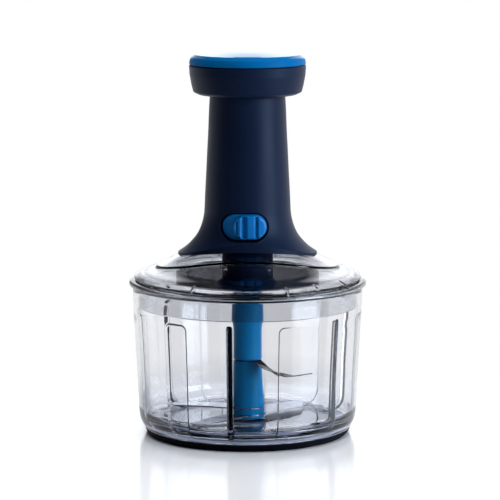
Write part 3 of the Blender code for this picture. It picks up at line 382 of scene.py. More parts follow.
# ====================================================================== bowl
BOWL_OUT = curve_of([(0.9, 64.9), (2.6, 66.3), (4.4, 67.3), (6.2, 68.1), (8.6, 69.3),
                     (12.4, 70.4), (19.8, 70.95), (33.1, 71.4), (46.3, 71.9), (59.5, 72.6),
                     (72.6, 73.3), (80.5, 73.8), (96.1, 74.1)])
RIBS = [-9.0 + 60.0 * k for k in range(6)]
PANELS = [(-9.0 + 120.0 * k + off, half) for k in range(3) for off, half in ((-29.9, 6.4), (32.0, 7.0))]
BOWL_TOP = 96.1


def wrap(deg):
    return (deg + 180.0) % 360.0 - 180.0


def bowl_degs():
    degs = {round(1.5 * i, 3) for i in range(240)}
    for c in RIBS:
        for k in range(-12, 13):
            degs.add(round((c + 0.22 * k) % 360.0, 3))
    for c, half in PANELS:
        for s in (-1, 1):
            edge = c + s * half
            for k in range(-4, 9):
                degs.add(round((edge - s * 0.28 * k) % 360.0, 3))
            for k in range(1, 8):
                degs.add(round((edge - s * (2.24 + 0.6 * k)) % 360.0, 3))
    out = []
    for d in sorted(degs):
        if not out or d - out[-1] > 0.09:
            out.append(d)
    return out


def rounded_rect(u, v, half_u, half_v, r):
    qx, qy = abs(u) - half_u + r, abs(v) - half_v + r
    return math.hypot(max(qx, 0.0), max(qy, 0.0)) + min(max(qx, qy), 0.0) - r


def bowl_relief(deg, z):
    """How far the inner wall stands proud of its plain turned shape."""
    h = 0.0
    for c, half in PANELS:
        d = wrap(deg - c)
        if abs(d) < half + 4:
            u = math.radians(d) * 69.5
            sd = rounded_rect(u, z - 29.5, math.radians(half) * 69.5, 50.0, 3.6)
            full = 1.1 if half < 6.5 else 1.1 * min(1.0, max(0.0, (half - 0.6 - d) / (2 * half)))
            h = max(h, full * smooth01(0.5 - sd / 0.9))
    for c in RIBS:
        d = wrap(deg - c)
        if abs(d) < 4:
            u = math.radians(d) * 69.5
            sd = rounded_rect(u, z - 30.5, 1.45, 50.0, 1.3)
            h = max(h, 2.8 * smooth01(0.5 - sd / 0.7))
    return h


def bowl_profile():
    """Rows of the turned shape, each with the way that its relief grows, or None."""
    inner = [(0.0, 10.1), (2.3, 10.1), (2.3, 13.4), (2.5, 13.6), (3.4, 13.6), (3.8, 13.3),
             (4.6, 11.6), (5.6, 9.8), (6.6, 8.7), (8.0, 8.3)]
    inner += [(r, 8.3) for r in (16.0, 28.0, 40.0, 50.0)]
    grow = [None] * len(inner)
    for r in (52.0, 53.5, 54.6, 55.5, 56.3, 57.1, 57.8):
        inner.append((r, 8.3))
        grow.append((0.0, smooth01((r - 52.0) / 5.0)))
    top_r = BOWL_OUT(19.0) - 2.2
    for i in range(1, 21):
        a = math.pi / 2 * i / 20
        inner.append((58.0 + (top_r - 58.0) * math.sin(a), 19.0 - 10.7 * math.cos(a)))
        grow.append((-math.sin(a), math.cos(a)))
    zs = [20.0 + 3.4 * k for k in range(16)]
    zs += [73.0 + 0.5 * k for k in range(20)]
    zs += [83.4, 85.5, 88.0, 90.5, 92.5]
    for z in zs:
        inner.append((BOWL_OUT(z) - 2.2, z))
        grow.append((-1.0, 0.0))
    outer = rounded([(BOWL_OUT(93.0) - 2.2, 93.5, 0), (BOWL_OUT(BOWL_TOP) - 2.0, BOWL_TOP, 0.7),
                     (BOWL_OUT(BOWL_TOP), BOWL_TOP, 0.7), (BOWL_OUT(92.0), 92.0, 0)],
                    0.7, closed=False)
    outer += [(BOWL_OUT(z), z) for z in (86.0, 80.0, 73.0, 66.0, 59.0, 52.0, 45.0, 38.0, 31.0,
                                         25.0, 21.0, 18.0, 15.5, 13.5, 12.0, 11.0, 10.2, 9.5,
                                         8.8, 8.1, 7.4, 6.7, 6.1, 5.6)]
    # the hollow foot: the wall's lower edge, and the underside of the corner
    outer += rounded([(BOWL_OUT(5.4), 5.4, 0), (BOWL_OUT(4.9), 4.9, 0.25), (65.1, 4.9, 0.2),
                      (65.1, 5.6, 0.3), (66.4, 7.5, 2.0), (67.3, 9.7, 0.7), (65.5, 8.27, 3.0),
                      (63.6, 7.12, 3.0), (61.4, 6.35, 3.0), (59.1, 5.95, 2.0), (57.0, 5.7, 0.3),
                      (57.0, 3.0, 0.3), (55.8, 3.0, 0.3), (55.2, 5.6, 0.6), (48.0, 5.6, 0)],
                     0.4, closed=False)
    outer += [(30.0, 5.6), (12.0, 5.6), (0.0, 5.6)]
    grow += [None] * len(outer)
    return inner + outer, grow


bowl_points, bowl_grow = bowl_profile()


def bowl_shape(deg, j, r, z):
    way = bowl_grow[j]
    if way is None:
        return r, z
    h = bowl_relief(deg, z)
    return r + way[0] * h, z + way[1] * h


def paint_rib_shade(obj):
    """The two front ribs look much darker than the wall, so their faces take a deeper tint: painted
    shade.
    """
    obj.data.materials.append(PAINTED_SHADE_CLEAR)
    for face in obj.data.polygons:
        c = face.center / MM
        r = math.hypot(c.x, c.y)
        deg = math.degrees(math.atan2(c.x, -c.y))
        if c.z < 8.6 or c.z > 80.4 or r > BOWL_OUT(max(c.z, 19.0)) - 2.6:
            continue
        if any(abs(math.radians(wrap(deg - k))) * r < 1.25 for k in RIBS[:2]):
            face.material_index = 1


bowl = lathe("bowl_shell", bowl_points, CLEAR, closed=False, degs=bowl_degs(),
             shape=bowl_shape, weighted=False)
paint_rib_shade(bowl)
settle(bowl, "bowl", "clear_plastic", "bowl")

ring = lathe("foot_ring", rounded([(57.4, 5.2), (64.8, 5.2, 0.2), (64.8, 4.6, 0.2), (66.9, 4.6, 0.3),
                                   (67.0, 4.1, 0.6), (66.1, 2.2, 4.0), (65.0, 0.6, 1.5),
                                   (64.3, 0.0, 0.4), (63.4, 0.0, 0.2), (62.8, 0.5, 0.2),
                                   (62.2, 0.0, 0.2), (59.4, 0.0, 0.2), (58.8, 0.5, 0.2),
                                   (58.2, 0.0, 0.2), (57.4, 0.0, 0.4)], 0.4), RUBBER, segs=192)
# The ring's top and inner faces take the pale blue-grey of painted light
ring.data.materials.append(RUBBER_TOP_PAINTED_LIGHT)
for face in ring.data.polygons:
    c = face.center / MM
    if c.z > 4.7 or math.hypot(c.x, c.y) < 57.6:
        face.material_index = 1
settle(ring, "bowl", "rubber", "base_ring")

pin = lathe("stem_pin", rounded([(0.0, 42.0), (1.5, 42.0, 1.2), (2.0, 40.6, 0.6), (2.0, 10.9),
                                 (1.6, 10.4), (0.0, 10.4)], 0.2, closed=False),
            STEEL, segs=48, closed=False)
settle(pin, "bowl", "steel", "pivot_pin")

# ====================================================================== lid
DOME = curve_of([(9.6, 123.4), (24.0, 123.35), (29.4, 122.9), (36.5, 120.1), (44.7, 115.9),
                 (52.0, 112.1), (59.4, 109.0)])
LOWER = curve_of([(40.0, 117.1), (44.7, 114.6), (52.0, 110.8), (59.9, 107.5), (67.5, 105.0),
                  (69.0, 104.3)])
STEP_SIDE, STEP_FRONT = 59.4, 42.6
NOTCHES = (-28.5, 20.0, 37.0, 57.0, 151.5, 200.0, 217.0, 237.0)


def groove_depth(deg):
    """The groove under the rim's upper band is shallow in front and back, deep at the sides."""
    d = abs(wrap(deg))
    d = min(d, 180.0 - d)
    return 0.35 + 1.25 * smooth01((d - 27.0) / 7.0)


def lid_rows():
    rows = [("plain", 9.6), ("plain", 9.9), ("plain", 16.0), ("plain", 22.0), ("plain", 26.0)]
    rows += [("in", t / 10) for t in range(0, 11)]
    rows += [("step", d) for d in (-0.9, -0.7, -0.5, -0.35, -0.2, 0.0, 0.1, 0.2, 0.35, 0.6, 0.9)]
    rows += [("out", t / 10) for t in range(1, 11)]
    return rows


def lid_point(kind, value, deg):
    step = ellipse(deg, STEP_SIDE, STEP_FRONT)
    if kind == "plain":
        return value, DOME(value)
    if kind == "in":
        r = 28.0 + (step - 1.2 - 28.0) * value
        return r, DOME(r)
    if kind == "step":
        r = step + value
        edge = smooth01(0.5 + (value + 0.15) / 1.1)
        return r, DOME(min(r, 60.0)) * (1 - edge) + LOWER(r) * edge
    r = step + 1.2 + (69.0 - step - 1.2) * value
    return r, LOWER(r)


RIM = rounded([(69.0, 104.3, 0), (70.6, 103.7, 0.8), (73.2, 102.4, 0.6), (73.7, 101.5, 0.3),
               (72.8, 101.1, 0.15), (72.8, 100.5, 0.15), (74.9, 100.1, 0), (75.6, 99.8, 0.3),
               (76.5, 98.6, 0.5), (76.6, 97.5, 0.3), (76.4, 97.1, 0), (75.7, 96.4, 0.3),
               (74.9, 96.4, 0.2), (74.9, 97.9, 0.2), (71.3, 97.9, 0.2),
               (71.3, 96.4, 0.2), (70.8, 96.4, 0.2), (70.6, 83.6, 0.5), (68.0, 83.6, 0.5),
               (67.8, 96.0, 1.0), (70.9, 99.2, 1.0), (67.6, 101.9, 1.0), (66.4, 103.0, 0)],
              0.4, closed=False, step=18.0)


def rim_point(i, deg):
    r, z = RIM[i]
    if 72.2 < r < 74.2 and 99.6 < z < 102.0:
        w = 1.0 - min(1.0, abs(z - 100.8) / 1.2)
        r -= (groove_depth(deg) - 0.35) * w
    if r > 69.8 and z > 99.6:
        cutting = max((smooth01(1.0 - abs(wrap(deg - c)) / 0.75) for c in NOTCHES), default=0.0)
        z -= 0.9 * cutting * min(1.0, (z - 99.6) / 1.5)
    return r, z


def lid_degs():
    degs = {round(1.25 * i, 3) for i in range(288)}
    for c in NOTCHES:
        for k in range(-5, 6):
            degs.add(round((c + 0.25 * k) % 360.0, 3))
    out = []
    for d in sorted(degs):
        if not out or d - out[-1] > 0.1:
            out.append(d)
    return out


def build_lid():
    degs = lid_degs()
    n = len(degs)
    verts, rows = [], []

    def add_row(points):
        rows.append(range(len(verts), len(verts) + n))
        verts.extend(points)

    upper = lid_rows()
    for kind, value in upper:
        add_row([ring_point(d, *lid_point(kind, value, d)) for d in degs])
    for i in range(1, len(RIM) - 1):
        add_row([ring_point(d, *rim_point(i, d)) for d in degs])
    for kind, value in reversed(upper):
        pts = []
        for d in degs:
            r, z = lid_point(kind, value, d)
            shrink = 1.0 + 1.4 * max(0.0, (r - 30.0) / 39.0)
            pts.append(ring_point(d, r - (shrink if kind != "plain" else 0.0), z - 2.2))
        add_row(pts)
    faces = []
    for j in range(len(rows)):
        a, b = rows[j], rows[(j + 1) % len(rows)]
        for i in range(n):
            k = (i + 1) % n
            faces.append((a[i], a[k], b[k], b[i]))
    return make("lid_dome", verts, faces, SMOKED, weighted=False)


def paint_rim_shade(obj):
    """The groove under the rim's upper band, the flange's lower edge and a strip of the front shoulder
    take painted shade, so they read as dark lines.
    """
    obj.data.materials.append(PAINTED_SHADE_CLEAR)
    for face in obj.data.polygons:
        c = face.center / MM
        r = math.hypot(c.x, c.y)
        deg = abs(math.degrees(math.atan2(c.x, -c.y)))
        groove = 71.0 < r < 73.1 and 100.35 < c.z < 101.35 and deg < 74
        edge = r > 75.1 and 96.3 < c.z < 97.3 and deg < 84
        shoulder = 75.2 < r < 76.0 and 99.3 < c.z < 100.0 and deg < 34
        if groove or edge or shoulder:
            face.material_index = 1


lid = build_lid()
paint_rim_shade(lid)
settle(lid, "lid", "smoked_plastic", "lid")

seal = lathe("seal_ring", rounded([(71.6, 97.6), (74.6, 97.6), (74.6, 96.4), (71.6, 96.4)],
                                  0.25), SEAL, segs=192)
settle(seal, "lid", "seal", "lid_seal")

carrier = lathe("hub_body", rounded([
    (7.3, 122.9), (9.2, 122.9), (9.2, 120.9), (26.0, 120.9), (26.0, 118.7), (17.6, 118.7),
    (16.5, 117.6), (16.5, 99.8), (13.9, 99.8), (13.9, 115.2), (5.0, 115.2), (5.0, 116.2),
    (7.3, 116.2)], 0.3), NAVY_INNER_SHADED, segs=128)
settle(carrier, "lid", "navy_plastic", "hub_carrier")

cover = lathe("hub_plate", rounded([
    (8.9, 99.4), (12.0, 99.4), (13.0, 101.4), (13.6, 99.5), (16.5, 99.5, 0.2), (16.5, 95.7, 0.2),
    (18.6, 95.7, 0.2), (18.6, 95.1, 0.4), (17.8, 94.5, 0.4), (8.9, 94.5, 0.4)], 0.2),
    NAVY_INNER_SHADED, segs=128)
settle(cover, "lid", "navy_plastic", "hub_cover")

# The inner cup's near-black material is painted shade inside the lid
shield = lathe("inner_cup", rounded([
    (44.7, 103.7, 0.2), (45.5, 103.7, 0.3), (46.0, 103.2, 0.3), (46.0, 96.8, 0.6), (45.2, 96.0, 0.6),
    (16.9, 96.0, 0.3), (16.9, 97.5, 0.3), (43.9, 97.5, 0.3), (44.5, 98.1, 0.4), (44.5, 103.5, 0.1)],
    0.3), SHIELD_PAINTED_SHADE, segs=160)
settle(shield, "lid", "smoked_plastic", "inner_shield")

# ====================================================================== column
COLUMN = curve_of([(218.8, 24.2), (209.0, 24.7), (196.2, 25.2), (183.3, 25.9), (170.4, 26.5),
                   (157.5, 27.2), (151.0, 27.5), (144.5, 27.8), (141.2, 28.2), (138.0, 28.9),
                   (134.7, 29.9), (131.5, 31.2), (128.2, 33.1), (125.0, 35.7), (121.7, 38.9),
                   (119.1, 42.2), (117.1, 45.4)])
FOOT_SIDE, FOOT_FRONT = 44.8, 34.2


def height_at(radius):
    """Height where the column's flare reaches a radius."""
    lo, hi = 116.0, 144.0
    for _ in range(40):
        mid = (lo + hi) / 2
        if COLUMN(mid) > radius:
            lo = mid
        else:
            hi = mid
    return (lo + hi) / 2


def build_column():
    degs = [360.0 * i / 240 for i in range(240)]
    n = len(degs)
    verts, rows = [], []

    def add_row(points):
        rows.append(range(len(verts), len(verts) + n))
        verts.extend(points)

    for r, z in rounded([(22.3, 218.2, 0), (22.3, 218.8, 0.3), (24.2, 218.8, 0.7),
                         (24.25, 217.0, 0)], 0.3, closed=False):
        add_row([ring_point(d, r, z) for d in degs])
    for z in (212.0, 205.0, 198.0, 191.0, 184.0, 177.0, 170.0, 163.0, 157.0, 152.0, 148.0):
        add_row([ring_point(d, COLUMN(z), z) for d in degs])
    ends = {d: height_at(ellipse(d, FOOT_SIDE, FOOT_FRONT)) for d in degs}
    for k in range(1, 31):
        t = k / 30
        add_row([ring_point(d, COLUMN(145.0 + (ends[d] - 145.0) * t),
                            145.0 + (ends[d] - 145.0) * t) for d in degs])
    # the foot's lip: rolled over, then down to the lid
    for out, down in ((0.22, 0.12), (0.38, 0.32), (0.42, 0.60)):
        add_row([ring_point(d, ellipse(d, FOOT_SIDE, FOOT_FRONT) + out - 0.42,
                            ends[d] - down) for d in degs])

    def lid_top(d, r):
        return DOME(min(r, 59.0))

    for inset, gap in ((0.05, 0.3), (0.8, 0.3), (2.0, 0.3)):
        add_row([ring_point(d, ellipse(d, FOOT_SIDE, FOOT_FRONT) - inset,
                            lid_top(d, ellipse(d, FOOT_SIDE, FOOT_FRONT) - inset) + gap)
                 for d in degs])
    for r, z in ((29.9, 123.8), (29.4, 128.2), (27.4, 134.0), (26.2, 139.0), (25.4, 146.0),
                 (24.6, 160.0), (23.6, 180.0), (22.6, 200.0), (22.3, 206.0)):
        add_row([ring_point(d, r, z) for d in degs])
    faces = []
    for j in range(len(rows)):
        a, b = rows[j], rows[(j + 1) % len(rows)]
        for i in range(n):
            k = (i + 1) % n
            faces.append((a[i], a[k], b[k], b[i]))
    return make("column", verts, faces, NAVY, weighted=False)


LOCK_Z = 137.0


def stadium(width, height, cx, cz, steps=24):
    r = height / 2
    half = width / 2 - r
    pts = []
    for i in range(steps + 1):
        a = -math.pi / 2 + math.pi * i / steps
        pts.append((cx + half + r * math.cos(a), cz + r * math.sin(a)))
    for i in range(steps + 1):
        a = math.pi / 2 + math.pi * i / steps
        pts.append((cx - half + r * math.cos(a), cz + r * math.sin(a)))
    return pts


def even_outline(outline, count):
    """The closed outline resampled at equal steps."""
    pts = [Vector(p) for p in outline]
    pts.append(pts[0])
    lengths = [0.0]
    for a, b in zip(pts, pts[1:]):
        lengths.append(lengths[-1] + (b - a).length)
    total = lengths[-1]
    out, j = [], 0
    for i in range(count):
        s = total * i / count
        while lengths[j + 1] < s:
            j += 1
        span = lengths[j + 1] - lengths[j]
        t = 0.0 if span < 1e-9 else (s - lengths[j]) / span
        q = pts[j].lerp(pts[j + 1], t)
        out.append((q.x, q.y))
    return out


def front_prism(name, outline, r_in, r_out):
    """Solid between two cylinders about the axis, with an outline drawn in XZ on the front."""
    n = len(outline)
    verts = []
    for r in (r_in, r_out):
        verts += [(x, -math.sqrt(max(r * r - x * x, 1.0)), z) for x, z in outline]
    faces = [(i, (i + 1) % n, n + (i + 1) % n, n + i) for i in range(n)]
    faces.append(tuple(range(n)))
    faces.append(tuple(range(n, 2 * n)))
    return make(name, verts, faces, NAVY, weighted=False)


def curved_pad(name, width, height, cx, r_base, relief, mat, count=220, ring_step=0.28):
    """A stadium-shaped pad on the front of the column, its face raised by relief(x, z, inset)."""
    verts, rows = [], []
    r_end = height / 2
    insets = [0.0, 0.04, 0.12, 0.22, 0.35, 0.5, 0.68, 0.88]
    while insets[-1] + ring_step < r_end - 0.05:
        insets.append(insets[-1] + ring_step)
    insets.append(r_end - 0.01)

    def ring_of(inset):
        return even_outline(stadium(width - 2 * inset, height - 2 * inset, cx, LOCK_Z), count)

    def put(x, z, r):
        return (x, -math.sqrt(r * r - x * x), z)

    def add_row(points):
        rows.append(list(range(len(verts), len(verts) + count)))
        verts.extend(points)

    add_row([put(x, z, r_base) for x, z in ring_of(0.6)])
    add_row([put(x, z, r_base) for x, z in ring_of(0.0)])
    for inset in insets:
        add_row([put(x, z, r_base + relief(x, z, inset)) for x, z in ring_of(inset)])
    faces = []
    for a, b in zip(rows, rows[1:]):
        for i in range(count):
            k = (i + 1) % count
            faces.append((a[i], a[k], b[k], b[i]))
    # the last ring is closed onto the pad's middle line, and the back is one face
    last = rows[-1]
    for i in range(count // 2):
        j = count - 1 - i
        i2, j2 = i + 1, j - 1
        if i2 >= j2:
            if i2 == j2:
                faces.append((last[i], last[i2], last[j]))
            break
        faces.append((last[i], last[i2], last[j2], last[j]))
    faces.append(tuple(rows[0]))
    return make(name, verts, faces, mat, weighted=False)


column = build_column()
wall = front_prism("lock_wall_tool", stadium(35.0, 22.8, -2.1, LOCK_Z), 24.6, 26.9)
boolean(column, wall, "UNION")
boolean(column, front_prism("pocket_tool", stadium(31.2, 18.7, -2.05, LOCK_Z), 26.2, 44.0))
dress(column, NAVY, sharp=38, weighted=True)
settle(column, "lid", "navy_plastic", "column_housing")


def pocket_lip():
    """The rounded edge of the pocket, a thin bead that follows the column's surface."""
    outline = even_outline(stadium(31.2, 18.7, -2.05, LOCK_Z), 200)
    verts, faces = [], []
    n, m = len(outline), 10
    bead = 0.42
    for i, (x, z) in enumerate(outline):
        r = COLUMN(z) - 0.12
        p = Vector((x, -math.sqrt(r * r - x * x), z))
        (x0, z0), (x1, z1) = outline[i - 1], outline[(i + 1) % n]
        along = Vector((x1 - x0, 0, z1 - z0)).normalized()
        out = Vector((p.x, p.y, 0)).normalized()
        across = along.cross(out).normalized()
        for k in range(m):
            a = 2 * math.pi * k / m
            verts.append(p + across * (bead * math.cos(a)) + out * (bead * math.sin(a)))
    for i in range(n):
        for k in range(m):
            i2, k2 = (i + 1) % n, (k + 1) % m
            faces.append((i * m + k, i2 * m + k, i2 * m + k2, i * m + k2))
    return make("pocket_lip", verts, faces, NAVY, weighted=False)


settle(pocket_lip(), "lid", "navy_plastic")


def plate_relief(x, z, inset):
    return 1.0 * math.sqrt(1.0 - (1.0 - min(inset / 0.5, 1.0)) ** 2) if inset < 0.5 else 1.0


bezel = curved_pad("lock_plate", 28.6, 16.6, -1.7, 26.5, plate_relief, LOCK, ring_step=0.9)
settle(bezel, "lid", "blue_plastic", "lock_bezel")


def pad_relief(x, z, inset):
    full = 3.2
    h = full * math.sqrt(max(0.0, 1.0 - (1.0 - min(inset / 1.3, 1.0)) ** 2))
    for gx, half, depth in ((-6.9, 1.0, 1.5), (-2.2, 2.0, 2.4), (5.7, 1.2, 1.9)):
        fall = smooth01(1.0 - abs(x - gx) / (half * 1.25))
        h -= depth * fall * smooth01((inset - 0.35) / 0.9)
    return max(h, 0.0)


pad = curved_pad("lock_pad", 21.8, 15.4, 1.5, 27.8, pad_relief, LOCK, count=300,
                 ring_step=0.25)
settle(pad, "lock", "blue_plastic", "lock_slider")

# ====================================================================== knob
shell = lathe("knob_skirt", rounded([
    (33.9, 238.3, 0.2), (36.9, 238.3, 0.5), (37.4, 237.4, 0.8), (37.05, 232.0, 8.0),
    (35.8, 225.1, 8.0), (34.7, 220.9, 1.3), (31.4, 219.3, 1.6), (20.4, 219.3, 0.3),
    (20.4, 221.6, 0.3), (31.4, 221.6, 1.0), (33.4, 226.0, 2.0)], 0.4, step=8.0),
    NAVY, segs=224)
settle(shell, "plunger", "navy_plastic", "knob_shell")

CAP = curve_of([(0.0, 248.7), (6.0, 248.62), (13.0, 248.3), (20.0, 247.65), (26.0, 246.6),
                (32.4, 245.2)])
cap_outer = [(r, CAP(r)) for r in (0.0, 2.0, 5.0, 9.0, 13.0, 17.0, 20.0, 23.0, 26.0, 29.0, 31.0,
                                   32.4)]
cap_outer += rounded([(32.4, 245.2, 0), (33.9, 244.85, 0.8), (36.3, 242.9, 2.2),
                      (37.1, 240.6, 2.0), (37.3, 238.6, 0.35), (33.5, 238.6, 0.2),
                      (33.5, 235.0, 0.3), (31.8, 235.0, 0.3), (31.2, 241.0, 2.0),
                      (22.0, 244.6, 4.0), (0.0, 246.4, 0)], 0.4, closed=False, step=7.0)[1:]
cap = lathe("knob_dome", cap_outer, BLUE, segs=224, closed=False)


def satin_shaded_side(obj):
    """The crown is polished, and the side below its edge is satin, in a slightly darker blue that is
    painted shade.
    """
    obj.data.materials.append(BLUE_SIDE_SHADED)
    for face in obj.data.polygons:
        c = face.center / MM
        dip = 3.4 * (1.0 - max(-c.y / math.hypot(c.x, c.y), 0.0)) if c.x or c.y else 0.0
        if math.hypot(c.x, c.y) > 32.6 and c.z < 245.15 - dip:
            face.material_index = 1


satin_shaded_side(cap)
settle(cap, "plunger", "blue_plastic", "knob_cap")

# ====================================================================== stem
upper = lathe("stem_top", rounded([
    (3.9, 96.6, 0.2), (7.4, 96.6, 0.5), (8.1, 95.8, 0.5), (8.1, 88.6, 2.0), (8.8, 86.0, 2.0),
    (10.1, 84.2, 1.0), (10.3, 78.0, 6.0), (10.2, 73.0, 1.5), (9.5, 70.2, 1.5), (9.2, 67.8, 2.0),
    (9.2, 52.0, 8.0), (9.3, 47.80, 0.25), (5.2, 47.80, 0.1), (5.2, 84.9, 0), (3.9, 86.9, 0)],
    0.3, step=10.0), STEM, segs=128)
settle(upper, "blades", "stem_plastic", "stem_upper")
middle = lathe("stem_mid", rounded([
    (9.3, 46.70, 0.25), (9.4, 40.0, 8.0), (9.8, 32.0, 8.0), (10.5, 22.0, 8.0), (10.9, 16.56, 0.2),
    (5.2, 16.56, 0.1), (5.2, 46.70, 0.1)], 0.3, step=4.0), STEM, segs=128)
settle(middle, "blades", "stem_plastic", "stem_middle")
lower = lathe("stem_low", rounded([(11.0, 15.64, 0.2), (11.1, 11.96, 0.2), (5.2, 11.96, 0.1),
                                   (5.2, 15.64, 0.1)], 0.12), STEM, segs=128)
settle(lower, "blades", "stem_plastic", "stem_lower")
foot = lathe("stem_base", rounded([(8.4, 11.04, 0.1), (11.1, 11.04, 0.2), (10.9, 9.6, 0.3),
                                   (10.4, 9.0, 0.3), (8.4, 9.0, 0.2)], 0.3), STEM, segs=128)
settle(foot, "blades", "stem_plastic", "stem_foot")

# ====================================================================== carried-over nodes
KEEP = {
    "blade_upper": BLADE, "blade_middle": BLADE_LOW, "blade_lower": BLADE_LOW, "stem_core": STEEL,
    "shaft_bush": NYLON, "guide_sleeve": NYLON, "spring_seat": NYLON, "drive_nut": NYLON,
    "lid_screw_1": STEEL, "lid_screw_2": STEEL, "lid_screw_3": STEEL,
    "knob_screw_1": STEEL, "knob_screw_2": STEEL, "knob_screw_3": STEEL,
    "return_spring": SPRING, "plunger_tube": NAVY_INNER_SHADED, "drive_shaft": STEEL,
    "retaining_ring": STEEL, "clutch_driver": STEEL, "drive_coupler": NAVY_INNER_SHADED,
    "lock_bolt": STEEL,
}
for node, mat in KEEP.items():
    obj = NODES[node]
    if not obj.material_slots:
        obj.data.materials.append(mat)
    for s in obj.material_slots:
        s.material = mat

# ====================================================================== stage
def floor():
    """A wide pale floor. It runs on behind the object to the top of the picture."""
    bm = bmesh.new()
    xs = [-9.0, -3.0, -1.0, -0.3, 0.3, 1.0, 3.0, 9.0]
    grid = [[bm.verts.new((x, y, 0.0)) for x in xs] for y in xs]
    for a, b in zip(grid, grid[1:]):
        for i in range(len(xs) - 1):
            bm.faces.new((a[i], a[i + 1], b[i + 1], b[i]))
    bmesh.ops.recalc_face_normals(bm, faces=bm.faces)
    mesh = bpy.data.meshes.new("stage_floor")
    bm.to_mesh(mesh)
    bm.free()
    obj = bpy.data.objects.new("stage_floor", mesh)
    bpy.context.scene.collection.objects.link(obj)
    mat = bpy.data.materials.new("stage_white")
    tree, bsdf, out = nodes_of(mat)
    grain = noise(tree, 3.0, 2.0)
    coord = tree.nodes.new("ShaderNodeTexCoord")
    split = tree.nodes.new("ShaderNodeSeparateXYZ")
    tree.links.new(coord.outputs["Object"], split.inputs[0])
    # in mirror reflections the near floor is a dark card, which keeps the fronts deep in colour
    near = spread(tree, split.outputs["Y"], 0.0, 1.0, -0.064, -0.052)
    path = tree.nodes.new("ShaderNodeLightPath")
    keep = tree.nodes.new("ShaderNodeMath")
    keep.operation = "SUBTRACT"
    keep.inputs[0].default_value = 1.0
    keep.use_clamp = True
    tree.links.new(path.outputs["Glossy Depth"], keep.inputs[1])
    lit = tree.nodes.new("ShaderNodeMath")
    lit.operation = "MAXIMUM"
    tree.links.new(near, lit.inputs[0])
    tree.links.new(keep.outputs[0], lit.inputs[1])
    shade = tree.nodes.new("ShaderNodeMix")
    shade.data_type = "RGBA"
    tree.links.new(lit.outputs[0], shade.inputs["Factor"])
    shade.inputs["A"].default_value = (0.0, 0.0, 0.0, 1.0)
    away = tree.nodes.new("ShaderNodeVectorMath")
    away.operation = "LENGTH"
    tree.links.new(coord.outputs["Object"], away.inputs[0])
    # Painted shadow: inside the bowl's foot the floor's colour is near-black, a shadow under the bowl
    under = tree.nodes.new("ShaderNodeMix")
    under.data_type = "RGBA"
    tree.links.new(spread(tree, away.outputs["Value"], 0.0, 1.0, 0.055, 0.062), under.inputs["Factor"])
    under.inputs["A"].default_value = (0.030, 0.034, 0.045, 1.0)
    tree.links.new(tones(tree, grain.outputs["Fac"], (0.84, 0.84, 0.845), (0.86, 0.86, 0.865)),
                   under.inputs["B"])
    tree.links.new(under.outputs["Result"], shade.inputs["B"])
    tree.links.new(shade.outputs["Result"], bsdf.inputs["Base Color"])
    bsdf.inputs["Roughness"].default_value = 0.17
    glow = tree.nodes.new("ShaderNodeEmission")
    glow.inputs["Color"].default_value = (1.0, 1.0, 1.0, 1.0)
    glow.inputs["Strength"].default_value = 1.0
    blend = tree.nodes.new("ShaderNodeMixShader")
    tree.links.new(spread(tree, split.outputs["Y"], 0.0, 1.0, 0.085, 0.18), blend.inputs["Fac"])
    tree.links.new(bsdf.outputs[0], blend.inputs[1])
    tree.links.new(glow.outputs[0], blend.inputs[2])
    tree.links.new(blend.outputs[0], out.inputs["Surface"])
    mesh.materials.append(mat)


floor()


def area(name, where, target, size, energy, color=(1, 1, 1)):
    data = bpy.data.lights.new(name, "AREA")
    data.shape = "RECTANGLE"
    data.size, data.size_y = size
    data.energy = energy
    data.color = color
    obj = bpy.data.objects.new(name, data)
    obj.location = where
    obj.rotation_euler = (Vector(target) - Vector(where)).to_track_quat("-Z", "Y").to_euler()
    bpy.context.scene.collection.objects.link(obj)
    return obj


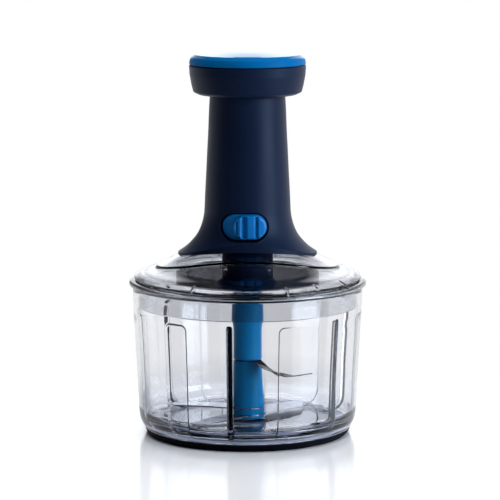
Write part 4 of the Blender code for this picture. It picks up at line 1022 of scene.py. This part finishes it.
area("key_right", (1.24, -0.68, 0.42), (0, 0, 0.14), (0.80, 1.0), 24.0, (0.82, 0.91, 1.0))
over = area("over", (0.0, 0.10, 1.7), (0, 0.0, 0.0), (1.5, 1.2), 30.0)
over.visible_glossy = False

world = bpy.data.worlds.new("studio")
bpy.context.scene.world = world
world.use_nodes = True
wt = world.node_tree
back = wt.nodes["Background"]
back.inputs["Color"].default_value = (0.96, 0.98, 1.0, 1.0)
where = wt.nodes.new("ShaderNodeTexCoord")
parts = wt.nodes.new("ShaderNodeSeparateXYZ")
wt.links.new(where.outputs["Generated"], parts.inputs[0])
behind = spread(wt, parts.outputs["Y"], 0.03, 1.0, -0.10, 0.60)
lift_node = wt.nodes.new("ShaderNodeMath")
lift_node.operation = "MINIMUM"
wt.links.new(spread(wt, parts.outputs["Z"], 1.8, 3.0, 0.20, 0.32), lift_node.inputs[0])
side_node = wt.nodes.new("ShaderNodeMath")
side_node.operation = "MINIMUM"
wt.links.new(spread(wt, parts.outputs["X"], 0.35, 3.0, -0.30, -0.12), side_node.inputs[0])
wt.links.new(spread(wt, parts.outputs["X"], 3.0, 1.2, 0.14, 0.30), side_node.inputs[1])
wt.links.new(side_node.outputs[0], lift_node.inputs[1])
lift = lift_node.outputs[0]
fade = spread(wt, parts.outputs["Z"], 1.0, 0.02, 0.48, 0.62)
low_node = wt.nodes.new("ShaderNodeMath")
low_node.operation = "MULTIPLY"
wt.links.new(lift, low_node.inputs[0])
wt.links.new(fade, low_node.inputs[1])
low = low_node.outputs[0]
band = wt.nodes.new("ShaderNodeMath")
band.operation = "MULTIPLY"
wt.links.new(behind, band.inputs[0])
wt.links.new(low, band.inputs[1])
wt.links.new(band.outputs[0], back.inputs["Strength"])

# ====================================================================== camera
cam_data = bpy.data.cameras.new("camera")
cam_data.sensor_width = 36.0
cam_data.lens = 2586.0 / 500.0 * 36.0
cam_data.clip_end = 50.0
camera = bpy.data.objects.new("camera", cam_data)
camera.location = (0.00158, -1.650, 0.363)
camera.rotation_euler = (math.radians(90.0 - 8.43), 0.0, 0.0)
bpy.context.scene.collection.objects.link(camera)
bpy.context.scene.camera = camera
bpy.context.scene.view_settings.view_transform = "Standard"
